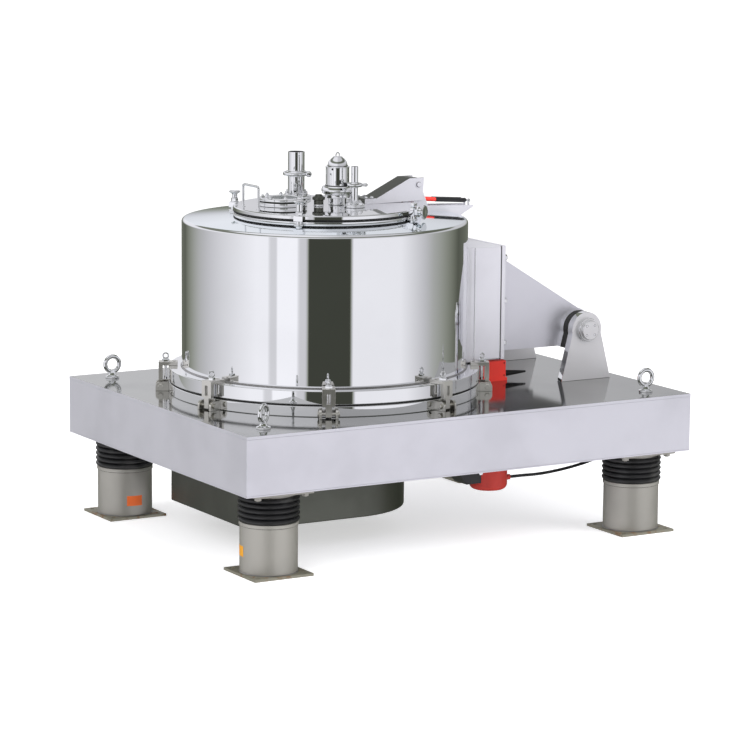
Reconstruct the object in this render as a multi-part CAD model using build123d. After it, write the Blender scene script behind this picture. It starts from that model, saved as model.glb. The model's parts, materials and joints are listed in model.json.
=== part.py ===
from build123d import *
import math
import os

# Top-opening centrifuge on a sprung platform, in millimetres.
# The origin is on the floor below the middle of the platform.
# +X points to the cover hinge, the long front side of the platform faces -Y.

# Platform, a welded box
platform_length = 2000
platform_width = 1520
platform_height = 230
platform_plate = 12
platform_wall = 6

# Legs, one near each corner
leg_height = 328
leg_inset_x = 175
leg_inset_y = 150
foot_plate = 10
foot_hole_pitch = 200
foot_hole_edge = 25
foot_hole_radius = 9
housing_radius = 110
housing_height = 203
housing_band = 14
housing_band_proud = 3
bellows_proud = 8
bellows_depth = 11
bellows_folds = 5
bellows_crest_start = 0.3
bellows_crest_end = 0.7
cap_plate = 12
cap_neck = 12
cap_neck_radius = 104
cap_bolt_radius = 9
cap_bolt_drop = 14
stud_pitch = 200

# Drum casing, a stainless shell of revolution
drum_x = -243
drum_radius = 565
drum_height = 586
drum_wall = 6
drum_rim_round = 14
cone_rise = 18
neck_radius = 350
neck_width = 24
neck_rise = 26
neck_flange = 10
neck_root = 7

# Ring joint between platform and drum
ring_width = 52
ring_edge = 3
lower_ring_height = 41
ring_gasket_height = 6
upper_ring_height = 52.7
seal_gap = 0.3

# Basket and spindle inside the drum
basket_radius = 400
basket_wall = 6
basket_rise = 142
basket_height = 390
basket_lip_width = 100
basket_lip = 10
basket_floor = 12
basket_hub_radius = 95
basket_hub_top_radius = 57
basket_hub_height = 90
spindle_radius = 55
spindle_housing_radius = 150
spindle_shoulder_radius = 105
spindle_neck = 43

# Swing clamps round the ring joint
clamp_first_angle = 62
clamp_step_angle = 45
clamp_count = 7
clamp_stand_off = 23
clamp_strap_thick = 16
clamp_strap_width = 50
clamp_tongue_width = 24
clamp_tongue_foot = 6
clamp_slot_width = 16
clamp_slot_margin = 8
clamp_lug_gap = 52
clamp_lug_plate = 10
clamp_lug_reach = 51
clamp_lug_height = 36
clamp_arm_rise = 14
clamp_arm_height = 18
clamp_screw_inset = 23
clamp_screw_radius = 7
clamp_eye_radius = 13
clamp_eye_bar = 4
clamp_eye_rise = 34
clamp_eye_turns = (0, 70, 20, 90, 40, 100, 60)
clamp_foot_radius = 12
clamp_foot_height = 8

# Hinge box on the drum, its flange and the arm of the cover
box_clamp_gap = 30.87
box_height = 460
box_rise = 4
box_reach = 111
box_round = 8
box_gasket = 5
box_flange = 18
arm_inset = 37
arm_top_margin = 52
arm_low_drop = 74
hub_radius = 78
cheek_radius = 67
hub_cheek = 24
hinge_reach = 360
hinge_rise = 206
hinge_pin_radius = 28
hinge_play = 1
seal_plate = 34
ear_plate = 33
ear_half_base = 119
ear_radius = 71
ear_fit = 0.25
hinge_cap_radius = 47
hinge_cap_step = 39
hinge_cap_flange = 18
hinge_cap_proud = 30

# Lifting eyes on the platform corners
eye_inset_x = 135
eye_inset_y = 120
eye_ring_radius = 41
eye_bar_radius = 9
eye_collar_radius = 28
eye_collar_height = 10
eye_neck_radius = 12
eye_centre_rise = 57
eye_turns = (35, 0, 0, 0)

# Belt guard below the platform
guard_half_width = 322
guard_reach = 517
guard_depth = 228
guard_wall = 3
guard_round = 8

# Interlock switch below the hinge box
switch_reach = 2.5
switch_y = -132
switch_length = 121
switch_width = 40
switch_foot_height = 12
switch_height = 70
switch_round = 5
boot_length = 105
boot_radius = 13.5
boot_end_radius = 4
boot_rise = 26

# Junction pot below the platform, with its feed box, cable and end box
pot_x = 243
pot_y = -460
pot_radius = 75
pot_height = 134
pot_bottom_round = 22
pot_box_length = 134
pot_box_height = 100
pot_box_slope = 80
pot_box_width = 90
gland_radius = 11
gland_length = 24
gland_root = 4
cable_radius = 6
cable_drop = 97
end_box_reach = 55
end_box_offset = 170
end_box_size = 60
end_box_height = 84
end_gland_drop = 58

# Feed lid on the neck of the drum
lid_radius = 363
lid_thick = 20
lid_edge_round = 5
lid_gasket_width = 20
lid_gasket_thick = 4.7
lid_lug_width = 36
lid_lug_reach = 28
lid_lug_angles = (45, 135, 225, 305)
lid_knob_outset = 9
lid_knob_washer_radius = 16
lid_knob_washer = 4
lid_knob_nut_radius = 13
lid_knob_nut = 13
lid_knob_barrel_radius = 11
lid_knob_barrel = 14
lid_knob_flare = 6
lid_knob_rim_radius = 22
lid_knob_rim = 8
loose_knob_rim_radius = 26
loose_knob_barrel = 24
loose_knob_drop = 6

# Lid arm, its bracket on the drum and its hinge
lid_hinge_reach = 38
lid_hinge_rise = 67
lid_arm_half_width = 47
lid_arm_plate = 6
lid_arm_foot_reach = 247
lid_arm_foot_length = 55
lid_arm_foot_height = 22
lid_arm_knee_reach = 42
lid_arm_height = 94
lid_arm_end_reach = 26
lid_arm_end_slant = 6
lid_arm_lift = 3
bracket_gap = 5
bracket_plate = 6
bracket_ear_radius = 16
bracket_shelf_reach = 52
bracket_shelf_rise = 30
bracket_tip_reach = 102
bracket_tip_rise = 22
bracket_wall_drop = 41
bracket_bridge = 6
lid_pin_radius = 8
lid_pin_play = 0.5
lid_pin_head_radius = 10
lid_pin_head = 3

# Gas struts between the bracket tip and the lid arm
strut_y = 15
strut_ball_radius = 8
strut_ball_inset = 10
strut_ball_rise = 17
strut_ball_stud = 4
strut_eye_back = 24
strut_eye_drop = 59
strut_eye_radius = 7
strut_eye_width = 8
strut_pin_radius = 4
strut_pin_gap = 1
strut_tube_radius = 9
strut_tube_start = 12
strut_rod_show = 56
strut_collar_length = 60
strut_collar_step = 1
strut_rod_radius = 4
strut_bore_depth = 130
strut_bore_play = 1

# Fittings on the feed lid, placed from the drum axis
handle_x = -310
handle_y = 41
handle_half_span = 63
handle_height = 94
handle_bar_radius = 5
handle_bend = 12
port_x = -150
port_y = 70
port_radius = 95
port_flange = 16
port_gasket = 4
port_gasket_step = 3
port_cover = 12
port_window = 58
port_glass = 8
port_glass_sink = 1
port_stud_count = 8
port_stud_inset = 14
port_stud_radius = 5
port_stud_height = 12
feed_x = 13
feed_y = 258
feed_radius = 33.5
feed_wall = 2.5
feed_height = 189
feed_clamp_rise = 101
feed_flange_radius = 60
feed_flange = 14
feed_ferrule_radius = 46
spray_x = -33
spray_y = -7
spray_radius = 18
spray_collar = 7
spray_collar_height = 12
spray_height = 46
spray_taper = 8
lamp_x = 55
lamp_y = -1
lamp_neck_radius = 36
lamp_neck = 28
lamp_flange_radius = 48
lamp_flange = 14
lamp_collar_radius = 64
lamp_collar = 33
lamp_collar_round = 6
lamp_body_radius = 47
lamp_shoulder = 5
lamp_body = 75
lamp_dome = 35
lamp_dome_radius = 37
lamp_dome_waist = 31
lamp_dome_top_radius = 19
lamp_ring_radius = 12
lamp_ring_bar = 3
inlet_x = 70
inlet_y = -110
inlet_radius = 14
inlet_wall = 2
inlet_height = 161
inlet_clamp_rise = 88
inlet_flange_radius = 43
inlet_flange = 12
inlet_ferrule_radius = 25
ferrule_half = 3
clamp_band = 8
clamp_band_half = 6
clamp_barrel_radius = 9
clamp_barrel_half = 14
clamp_wing_reach = 40
clamp_wing_radius = 6
clamp_wing_half = 16
clamp_wing_thick = 10
clamp_wing_angle = -30

# Levels and places worked out from the sizes above
platform_bottom_z = leg_height
platform_top_z = leg_height + platform_height
skirt_top_z = platform_top_z - platform_plate
skirt_bottom_z = platform_bottom_z + platform_wall
leg_x = platform_length / 2 - leg_inset_x
leg_y = platform_width / 2 - leg_inset_y
eye_x = platform_length / 2 - eye_inset_x
eye_y = platform_width / 2 - eye_inset_y
cap_bottom_z = platform_bottom_z - cap_plate
bellows_top_z = cap_bottom_z - cap_neck
bellows_radius = housing_radius + bellows_proud
ring_radius = drum_radius + ring_width
ring_bore = drum_radius - drum_wall
lower_ring_top_z = platform_top_z + lower_ring_height
ring_gasket_top_z = lower_ring_top_z + ring_gasket_height
upper_ring_bottom_z = ring_gasket_top_z + seal_gap
upper_ring_top_z = upper_ring_bottom_z + upper_ring_height
clamp_inner_radius = ring_radius + clamp_stand_off
clamp_screw_circle = ring_radius - clamp_screw_inset
clamp_last_angle = clamp_first_angle + (clamp_count - 1) * clamp_step_angle
clamp_last_y = clamp_screw_circle * math.sin(math.radians(360 - clamp_last_angle))
clamp_arm_bottom_z = upper_ring_top_z + clamp_arm_rise
clamp_arm_top_z = clamp_arm_bottom_z + clamp_arm_height
basket_floor_z = platform_top_z + basket_rise
drum_rim_z = upper_ring_top_z + drum_height
neck_top_z = drum_rim_z + neck_rise
lid_bottom_z = neck_top_z + seal_gap + lid_gasket_thick
lid_top_z = lid_bottom_z + lid_thick
box_half_width = clamp_last_y - clamp_eye_radius - box_clamp_gap
arm_half_width = box_half_width - arm_inset
box_bottom_z = upper_ring_top_z + box_rise
box_top_z = box_bottom_z + box_height
box_face_x = drum_x + drum_radius + box_reach
flange_back_x = box_face_x + box_gasket + box_flange
hinge_x = flange_back_x + hinge_reach
hinge_z = platform_top_z + hinge_rise
arm_top_z = box_top_z - arm_top_margin
arm_bottom_z = hinge_z - arm_low_drop
seal_start_y = arm_half_width + hub_cheek + hinge_play
ear_start_y = seal_start_y + seal_plate
ear_end_y = ear_start_y + ear_plate
guard_bottom_z = platform_bottom_z - guard_depth
guard_left_x = drum_x - guard_reach
foot_size = foot_hole_pitch + 2 * foot_hole_edge
switch_x = flange_back_x + switch_reach
switch_foot_top_z = platform_top_z + switch_foot_height
cable_z = platform_bottom_z - cable_drop
end_gland_z = platform_bottom_z - end_gland_drop
end_box_x = leg_x + end_box_reach
end_box_y = end_box_offset - leg_y
lid_hinge_x = drum_x + lid_radius + lid_hinge_reach
lid_hinge_z = lid_top_z + lid_hinge_rise
lid_arm_top_z = lid_top_z + lid_arm_height
lid_arm_foot_x = lid_hinge_x - lid_arm_foot_reach
lid_arm_foot_end_x = lid_arm_foot_x + lid_arm_foot_length
cheek_inner_y = lid_arm_half_width - lid_arm_plate
bracket_outer_y = cheek_inner_y - bracket_gap
bracket_inner_y = bracket_outer_y - bracket_plate
bracket_tip_x = drum_x + drum_radius + bracket_tip_reach
bracket_tip_z = drum_rim_z + bracket_tip_rise
strut_ball_x = bracket_tip_x - strut_ball_inset
strut_ball_z = bracket_tip_z + strut_ball_rise
strut_eye_x = lid_hinge_x - strut_eye_back
strut_eye_z = lid_hinge_z - strut_eye_drop
strut_length = math.hypot(strut_ball_x - strut_eye_x, strut_eye_z - strut_ball_z)
strut_tube_end = strut_length - strut_eye_radius - strut_rod_show - strut_collar_length
feed_top_z = lid_top_z + feed_height
feed_clamp_z = lid_top_z + feed_clamp_rise
inlet_top_z = lid_top_z + inlet_height
inlet_clamp_z = lid_top_z + inlet_clamp_rise


def rod(radius, z0, z1, x=0, y=0):
    return Pos(x, y, (z0 + z1) / 2) * Cylinder(radius, z1 - z0)


def rod_y(radius, y0, y1, x, z):
    return Pos(x, (y0 + y1) / 2, z) * Rot(90, 0, 0) * Cylinder(radius, y1 - y0)


def rod_x(radius, x0, x1, y, z):
    return Pos((x0 + x1) / 2, y, z) * Rot(0, 90, 0) * Cylinder(radius, x1 - x0)


def block(x0, x1, y0, y1, z0, z1):
    return Pos((x0 + x1) / 2, (y0 + y1) / 2, (z0 + z1) / 2) * Box(x1 - x0, y1 - y0, z1 - z0)


def turned(points, x=0, y=0):
    profile = make_face(Polyline(*[(r, 0, z) for r, z in points], close=True))
    return Pos(x, y, 0) * revolve(profile, Axis.Z)


def side_plate(points, y0, y1):
    outline = make_face(Polyline(*[(x, y0, z) for x, z in points], close=True))
    return extrude(outline, amount=y1 - y0, dir=(0, 1, 0))


def on_ring(shape, angle):
    return Pos(drum_x, 0, 0) * Rot(0, 0, angle) * shape


def on_lid(shape, x, y):
    return Pos(drum_x + x, y, 0) * shape


def both_sides(shape):
    return Compound(children=[shape, mirror(shape, about=Plane.XZ)])


def keep_as(name, shape):
    export_step(shape, "parts/" + name + ".step")
    print(name, round(shape.volume / 1000), "cm3")


def platform_top():
    top = Box(platform_length, platform_width, platform_plate)
    return Pos(0, 0, platform_top_z - platform_plate / 2) * top


def platform_skirt():
    outer = block(-platform_length / 2, platform_length / 2, -platform_width / 2, platform_width / 2,
                  skirt_bottom_z, skirt_top_z)
    half_x = platform_length / 2 - platform_wall
    half_y = platform_width / 2 - platform_wall
    return outer - block(-half_x, half_x, -half_y, half_y, skirt_bottom_z, skirt_top_z)


def platform_floor():
    return block(-platform_length / 2, platform_length / 2, -platform_width / 2, platform_width / 2,
                 platform_bottom_z, skirt_bottom_z)


def corner_points(half_x, half_y):
    return [(sx * half_x, sy * half_y) for sx in (-1, 1) for sy in (-1, 1)]


def leg_housing():
    foot = block(-foot_size / 2, foot_size / 2, -foot_size / 2, foot_size / 2, 0, foot_plate)
    for x, y in corner_points(foot_hole_pitch / 2, foot_hole_pitch / 2):
        foot -= rod(foot_hole_radius, -1, foot_plate + 1, x, y)
    band_radius = housing_radius + housing_band_proud
    pipe = rod(housing_radius, foot_plate, housing_height - housing_band)
    band = rod(band_radius, housing_height - housing_band, housing_height)
    return foot + pipe + band


def leg_bellows():
    fold = (bellows_top_z - housing_height) / bellows_folds
    valley = bellows_radius - bellows_depth
    points = [(0, housing_height)]
    for i in range(bellows_folds):
        z = housing_height + i * fold
        points += [(valley, z), (bellows_radius, z + fold * bellows_crest_start),
                   (bellows_radius, z + fold * bellows_crest_end)]
    points += [(valley, bellows_top_z), (0, bellows_top_z)]
    return turned(points)


def leg_cap():
    plate = block(-foot_size / 2, foot_size / 2, -foot_size / 2, foot_size / 2,
                  cap_bottom_z, platform_bottom_z)
    cap = plate + rod(cap_neck_radius, bellows_top_z, cap_bottom_z)
    for x, y in corner_points(stud_pitch / 2, stud_pitch / 2):
        cap += rod(cap_bolt_radius, cap_bottom_z - cap_bolt_drop, cap_bottom_z, x, y)
    return cap


def lifting_eyes():
    ring_z = platform_top_z + eye_centre_rise
    centre_line = eye_ring_radius - eye_bar_radius
    ring = Pos(0, 0, ring_z) * Rot(90, 0, 0) * Torus(centre_line, eye_bar_radius)
    collar = turned([(0, platform_top_z), (eye_collar_radius, platform_top_z),
                     (eye_collar_radius, platform_top_z + eye_collar_height),
                     (eye_neck_radius, ring_z - centre_line), (0, ring_z - centre_line)])
    eye = ring + collar
    corners = zip(corner_points(eye_x, eye_y), eye_turns)
    return Compound(children=[Pos(x, y, 0) * Rot(0, 0, turn) * eye for (x, y), turn in corners])


def guard_form(inset):
    half = guard_half_width - inset
    low = guard_bottom_z + inset
    shape = block(guard_left_x + inset, drum_x, -half, half, low, platform_bottom_z)
    shape += rod(half, low, platform_bottom_z, drum_x, 0)
    return fillet(shape.edges().group_by(Axis.Z)[0], guard_round - inset)


def drive_guard():
    return guard_form(0) - guard_form(guard_wall)


def lower_ring():
    ring = rod(ring_radius, platform_top_z, lower_ring_top_z) - rod(ring_bore, 0, lower_ring_top_z + 1)
    return Pos(drum_x, 0, 0) * ring


def clamp_lug_pair():
    lug_in = clamp_lug_gap / 2
    lug = block(ring_radius - ring_edge, ring_radius + clamp_lug_reach, lug_in, lug_in + clamp_lug_plate,
                platform_top_z, platform_top_z + clamp_lug_height)
    outer = lug.edges().filter_by(Axis.Y).sort_by(Axis.X)[-2:].sort_by(Axis.Z)[-1]
    lug = fillet(outer, clamp_lug_height / 2) - rod(ring_radius, 0, lower_ring_top_z + 1)
    return [lug, mirror(lug, about=Plane.XZ)]


def ring_gasket():
    outer = rod(ring_radius - ring_edge, lower_ring_top_z, ring_gasket_top_z)
    return Pos(drum_x, 0, 0) * (outer - rod(ring_bore, 0, drum_rim_z))


def upper_ring():
    top = upper_ring_top_z
    return turned([(ring_bore, upper_ring_bottom_z), (ring_radius, upper_ring_bottom_z),
                   (ring_radius, top - ring_edge), (ring_radius - ring_edge, top), (ring_bore, top)], drum_x)


def basket():
    z0 = basket_floor_z
    z1 = z0 + basket_height
    inner = basket_radius - basket_wall
    lip = basket_radius - basket_lip_width
    return turned([(0, z0), (basket_radius, z0), (basket_radius, z1), (lip, z1),
                   (lip, z1 - basket_lip), (inner, z1 - basket_lip),
                   (inner, z0 + basket_floor), (basket_hub_radius, z0 + basket_floor),
                   (basket_hub_top_radius, z0 + basket_hub_height), (0, z0 + basket_hub_height)], drum_x)


def spindle():
    housing_top = basket_floor_z - spindle_neck
    return turned([(0, platform_top_z), (spindle_housing_radius, platform_top_z),
                   (spindle_shoulder_radius, housing_top), (spindle_radius, housing_top),
                   (spindle_radius, basket_floor_z), (0, basket_floor_z)], drum_x)


def drum_envelope(shrink=0):
    outer = drum_radius - shrink
    shoulder = drum_rim_z - shrink
    bend = drum_rim_round - shrink
    cone_top = shoulder + cone_rise
    low = (outer, 0, upper_ring_top_z)
    wall = Line(low, (outer, 0, shoulder - bend))
    middle = bend * (1 - math.sqrt(0.5))
    corner = ThreePointArc(wall @ 1, (outer - middle, 0, shoulder - middle), (outer - bend, 0, shoulder))
    cone = Polyline(corner @ 1, (neck_radius, 0, cone_top), (0, 0, cone_top), (0, 0, upper_ring_top_z), low)
    return Pos(drum_x, 0, 0) * revolve(make_face([wall, corner, cone]), Axis.Z)


def drum_shell():
    top = drum_rim_z - drum_rim_round
    return turned([(drum_radius - drum_wall, upper_ring_top_z), (drum_radius, upper_ring_top_z),
                   (drum_radius, top), (drum_radius - drum_wall, top)], drum_x)


def drum_top():
    shoulder = drum_rim_z - drum_rim_round
    shell = drum_envelope() - drum_envelope(drum_wall)
    shell -= rod(drum_radius + 1, 0, shoulder, drum_x)
    neck = rod(neck_radius, neck_top_z - neck_flange - neck_root, neck_top_z, drum_x)
    return shell + neck - rod(neck_radius - neck_width, shoulder, neck_top_z + 1, drum_x)


def hinge_box():
    body = block(drum_x, box_face_x, -box_half_width, box_half_width, box_bottom_z, box_top_z)
    upright = body.edges().filter_by(Axis.X)
    body = fillet(upright, box_round)
    return body - Pos(drum_x, 0, 0) * rod(drum_radius, 0, drum_rim_z)


def box_slab(x0, x1, margin):
    return block(x0, x1, -box_half_width - margin, box_half_width + margin,
                 box_bottom_z - margin, box_top_z + margin)


def arm_outline():
    steep = math.atan2(hinge_x - flange_back_x, arm_top_z - hinge_z)
    reach = math.hypot(hinge_x - flange_back_x, arm_top_z - hinge_z)
    turn = steep - math.asin(hub_radius / reach)
    top_x = hinge_x + hub_radius * math.cos(turn)
    top_z = hinge_z + hub_radius * math.sin(turn)
    nose = [(hinge_x, arm_bottom_z), (top_x, top_z)]
    return [(flange_back_x, arm_bottom_z)] + nose + [(flange_back_x, arm_top_z)]


def cover_arm():
    arm = side_plate(arm_outline(), -arm_half_width, arm_half_width)
    cheek = arm_cheek()
    arm += cheek + mirror(cheek, about=Plane.XZ)
    arm += rod_y(hub_radius, -arm_half_width, arm_half_width, hinge_x, hinge_z)
    return arm - rod_y(hinge_pin_radius + hinge_play / 2, -ear_end_y, ear_end_y, hinge_x, hinge_z)


def ear_outline(radius):
    reach = math.hypot(ear_half_base, hinge_z - platform_top_z)
    lean = math.atan2(ear_half_base, hinge_z - platform_top_z)
    turn = math.pi / 2 - (math.pi - lean - math.acos(radius / reach) - math.pi / 2)
    tangent_x = radius * math.sin(turn)
    tangent_z = radius * math.cos(turn)
    low = platform_top_z
    right = (hinge_x + tangent_x, 0, hinge_z + tangent_z)
    left = (hinge_x - tangent_x, 0, hinge_z + tangent_z)
    base = Polyline(left, (hinge_x - ear_half_base, 0, low), (hinge_x + ear_half_base, 0, low), right)
    crown = ThreePointArc(right, (hinge_x, 0, hinge_z + radius), left)
    return make_face([base, crown])


def hinge_plate(start, thick, bore):
    plate = Pos(0, start, 0) * extrude(ear_outline(ear_radius), amount=thick, dir=(0, 1, 0))
    return plate - rod_y(bore, start - 1, start + thick + 1, hinge_x, hinge_z)


def arm_cheek():
    outline = extrude(ear_outline(cheek_radius), amount=hub_cheek, dir=(0, 1, 0))
    width = ear_half_base * 2
    kept = block(hinge_x - width, hinge_x, -1, hub_cheek + 1, arm_bottom_z, hinge_z + width)
    cheek = outline & kept
    boss = rod_y(cheek_radius, arm_half_width, arm_half_width + hub_cheek, hinge_x, hinge_z)
    return Pos(0, arm_half_width, 0) * cheek + boss


def hinge_seal():
    width = ear_half_base * 2
    below = block(hinge_x - width, hinge_x + width, seal_start_y - 1, ear_start_y + 1,
                  platform_top_z - 1, arm_bottom_z)
    return hinge_plate(seal_start_y, seal_plate, hinge_pin_radius + ear_fit) - below


def hinge_pin():
    pin = rod_y(hinge_pin_radius, -ear_end_y, ear_end_y, hinge_x, hinge_z)
    for side in (-1, 1):
        middle = side * (ear_end_y + hinge_cap_flange)
        end = side * (ear_end_y + hinge_cap_proud)
        foot = side * ear_end_y
        pin += rod_y(hinge_cap_radius, min(foot, middle), max(foot, middle), hinge_x, hinge_z)
        pin += rod_y(hinge_cap_step, min(middle, end), max(middle, end), hinge_x, hinge_z)
    return pin


def clamp_strap():
    half = clamp_strap_width / 2
    inner = clamp_inner_radius
    outer = inner + clamp_strap_thick
    tongue = clamp_tongue_width / 2
    shoulder = ring_gasket_top_z
    low = platform_top_z + clamp_tongue_foot
    strap = block(inner, outer, -tongue, tongue, low, shoulder)
    strap += block(inner, outer, -half, half, shoulder, clamp_arm_top_z)
    strap += block(clamp_screw_circle - clamp_eye_radius, inner, -half, half,
                   clamp_arm_bottom_z, clamp_arm_top_z)
    slot = clamp_slot_width / 2
    strap -= block(inner - 1, outer + 1, -slot, slot, shoulder + clamp_slot_margin,
                   clamp_arm_bottom_z - clamp_slot_margin)
    return strap - rod(clamp_screw_radius, clamp_arm_bottom_z - 1, clamp_arm_top_z + 1, clamp_screw_circle)


def clamp_screw(turn):
    eye_z = clamp_arm_top_z + clamp_eye_rise
    centre_line = clamp_eye_radius - clamp_eye_bar
    screw = rod(clamp_foot_radius, upper_ring_top_z, upper_ring_top_z + clamp_foot_height)
    screw += rod(clamp_screw_radius, upper_ring_top_z, eye_z - centre_line)
    screw += Rot(0, 0, turn) * Pos(0, 0, eye_z) * Rot(90, 0, 0) * Torus(centre_line, clamp_eye_bar)
    return Pos(clamp_screw_circle, 0, 0) * screw


def clamp_angles():
    return [clamp_first_angle + i * clamp_step_angle for i in range(clamp_count)]


def clamp_lugs():
    return Compound(children=[on_ring(lug, angle) for angle in clamp_angles() for lug in clamp_lug_pair()])


def clamp_straps():
    return Compound(children=[on_ring(clamp_strap(), angle) for angle in clamp_angles()])


def clamp_screws():
    turned_screws = zip(clamp_angles(), clamp_eye_turns)
    return Compound(children=[on_ring(clamp_screw(turn), angle) for angle, turn in turned_screws])


def interlock_switch():
    half_length = switch_length / 2
    half_width = switch_width / 2
    top = switch_foot_top_z + switch_height
    foot = block(-half_length - switch_round, half_length + switch_round, -half_width, half_width,
                 platform_top_z, switch_foot_top_z)
    body = block(-half_length, half_length, -half_width, half_width, switch_foot_top_z, top)
    body = fillet(body.edges().filter_by(Axis.Z), switch_round)
    return Pos(switch_x, switch_y, 0) * (foot + body)


def switch_boot():
    middle = switch_x + (switch_length + boot_length) / 2
    boot = Cone(boot_radius, boot_end_radius, boot_length)
    return Pos(middle, switch_y, platform_top_z + boot_rise) * Rot(0, 90, 0) * boot


def junction_pot():
    pot = rod(pot_radius, platform_bottom_z - pot_height, platform_bottom_z, pot_x, pot_y)
    pot = fillet(pot.edges().sort_by(Axis.Z)[0], pot_bottom_round)
    side = pot_x + pot_radius
    return pot + rod_x(gland_radius, side - gland_root, side + gland_length, pot_y, cable_z)


def junction_box():
    start = pot_x - pot_radius - pot_box_length
    low = platform_bottom_z - pot_box_height
    half = pot_box_width / 2
    outline = [(pot_x, low), (pot_x, platform_bottom_z), (start, platform_bottom_z),
               (start + pot_box_slope, low)]
    box = side_plate(outline, pot_y - half, pot_y + half)
    return box - rod(pot_radius, 0, platform_bottom_z, pot_x, pot_y)


def end_box():
    half = end_box_size / 2
    box = block(end_box_x, end_box_x + end_box_size, end_box_y - half, end_box_y + half,
                platform_bottom_z - end_box_height, platform_bottom_z)
    return box + rod_x(gland_radius, end_box_x - gland_length, end_box_x + gland_root,
                       end_box_y, end_gland_z)


def cable_route():
    start = (pot_x + pot_radius + gland_length, pot_y, cable_z)
    end = (end_box_x - gland_length, end_box_y, end_gland_z)
    return [start, (398, -460, 231), (480, -457, 228), (565, -452, 232), (650, -448, 241),
            (728, -444, 253), (796, -440, 270), end]


def cable():
    points = [Vector(*p) for p in cable_route()]
    radii = []
    for a, b, c in zip(points, points[1:], points[2:]):
        turn = math.radians((b - a).get_angle(c - b))
        radii.append(0.45 * min((b - a).length, (c - b).length) / math.tan(turn / 2))
    print("cable bend radii", [round(radius) for radius in radii])
    path = FilletPolyline(*points, radius=radii)
    section = Plane(origin=path @ 0, z_dir=path % 0) * Circle(cable_radius)
    tube = sweep(section, path=path)
    print("cable", round(path.length), "mm, volume ratio",
          round(tube.volume / (math.pi * cable_radius ** 2 * path.length), 3))
    return tube


def lid_plate():
    plate = rod(lid_radius, lid_bottom_z, lid_top_z)
    plate = fillet(plate.edges().sort_by(Axis.Z)[-1], lid_edge_round)
    half = lid_lug_width / 2
    lug = block(lid_radius - lid_lug_reach, lid_radius + lid_lug_reach, -half, half, lid_bottom_z, lid_top_z)
    for angle in lid_lug_angles:
        plate += Rot(0, 0, angle) * lug
    return on_lid(plate, 0, 0)


def lid_gasket():
    low = neck_top_z + seal_gap
    outer = rod(neck_radius, low, lid_bottom_z)
    return on_lid(outer - rod(neck_radius - lid_gasket_width, low - 1, lid_bottom_z + 1), 0, 0)


def knob_grip(z, barrel, rim_radius):
    flare_z = z + barrel
    rim_z = flare_z + lid_knob_flare
    top_z = rim_z + lid_knob_rim
    return [(lid_knob_barrel_radius, z), (lid_knob_barrel_radius, flare_z), (rim_radius, rim_z),
            (rim_radius, top_z), (0, top_z)]


def lid_knob():
    washer_top = lid_top_z + lid_knob_washer
    nut_top = washer_top + lid_knob_nut
    seat = [(0, lid_top_z), (lid_knob_washer_radius, lid_top_z), (lid_knob_washer_radius, washer_top),
            (lid_knob_nut_radius, washer_top), (lid_knob_nut_radius, nut_top)]
    knob = turned(seat + knob_grip(nut_top, lid_knob_barrel, lid_knob_rim_radius))
    return Pos(lid_radius + lid_knob_outset, 0, 0) * knob


def loose_knob():
    knob = turned([(0, 0)] + knob_grip(0, loose_knob_barrel, loose_knob_rim_radius))
    start = lid_radius + lid_lug_reach
    return Pos(start, 0, lid_top_z - loose_knob_drop) * Rot(0, 90, 0) * knob


def lid_knobs():
    knobs = [on_ring(lid_knob(), angle) for angle in lid_lug_angles[:-1]]
    return Compound(children=knobs + [on_ring(loose_knob(), lid_lug_angles[-1])])


def lid_handle():
    left = handle_y + handle_half_span
    right = handle_y - handle_half_span
    top = lid_top_z + handle_height - handle_bar_radius
    path = FilletPolyline((0, left, lid_top_z), (0, left, top), (0, right, top), (0, right, lid_top_z),
                          radius=handle_bend)
    section = Plane(origin=path @ 0, z_dir=path % 0) * Circle(handle_bar_radius)
    return on_lid(sweep(section, path=path), handle_x, 0)


def sight_port():
    flange_top = lid_top_z + port_flange
    cover_low = flange_top + port_gasket
    cover_top = cover_low + port_cover
    ring = rod(port_radius, lid_top_z, flange_top) + rod(port_radius, cover_low, cover_top)
    ring += rod(port_radius - port_gasket_step, flange_top, cover_low)
    ring -= rod(port_window, cover_top - port_glass, cover_top + 1)
    step = 360 / port_stud_count
    for i in range(port_stud_count):
        stud = rod(port_stud_radius, cover_top, cover_top + port_stud_height,
                   port_radius - port_stud_inset)
        ring += Rot(0, 0, step * (i + 0.5)) * stud
    return on_lid(ring, port_x, port_y)


def sight_glass():
    top = lid_top_z + port_flange + port_gasket + port_cover
    return on_lid(rod(port_window, top - port_glass, top - port_glass_sink), port_x, port_y)


def ferrule_tube(radius, wall, top, flange_radius, flange, ferrule_radius, ferrule_z):
    tube = rod(radius, lid_top_z, top) + rod(flange_radius, lid_top_z, lid_top_z + flange)
    tube += rod(ferrule_radius, ferrule_z - ferrule_half, ferrule_z + ferrule_half)
    return tube - rod(radius - wall, lid_top_z + flange, top + 1)


def feed_tube():
    tube = ferrule_tube(feed_radius, feed_wall, feed_top_z, feed_flange_radius, feed_flange,
                        feed_ferrule_radius, feed_clamp_z)
    return on_lid(tube, feed_x, feed_y)


def inlet_tube():
    tube = ferrule_tube(inlet_radius, inlet_wall, inlet_top_z, inlet_flange_radius, inlet_flange,
                        inlet_ferrule_radius, inlet_clamp_z)
    return on_lid(tube, inlet_x, inlet_y)


def clamp_ring(bore, z):
    band = rod(bore + clamp_band, z - clamp_band_half, z + clamp_band_half)
    return band - rod(bore, z - clamp_band_half - 1, z + clamp_band_half + 1)


def barrel_clamp(bore, z):
    centre = bore + clamp_band / 2
    barrel = rod_y(clamp_barrel_radius, -clamp_barrel_half, clamp_barrel_half, centre, z)
    return clamp_ring(bore, z) + barrel - rod(bore, z - clamp_barrel_radius - 1, z + clamp_barrel_radius + 1)


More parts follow.
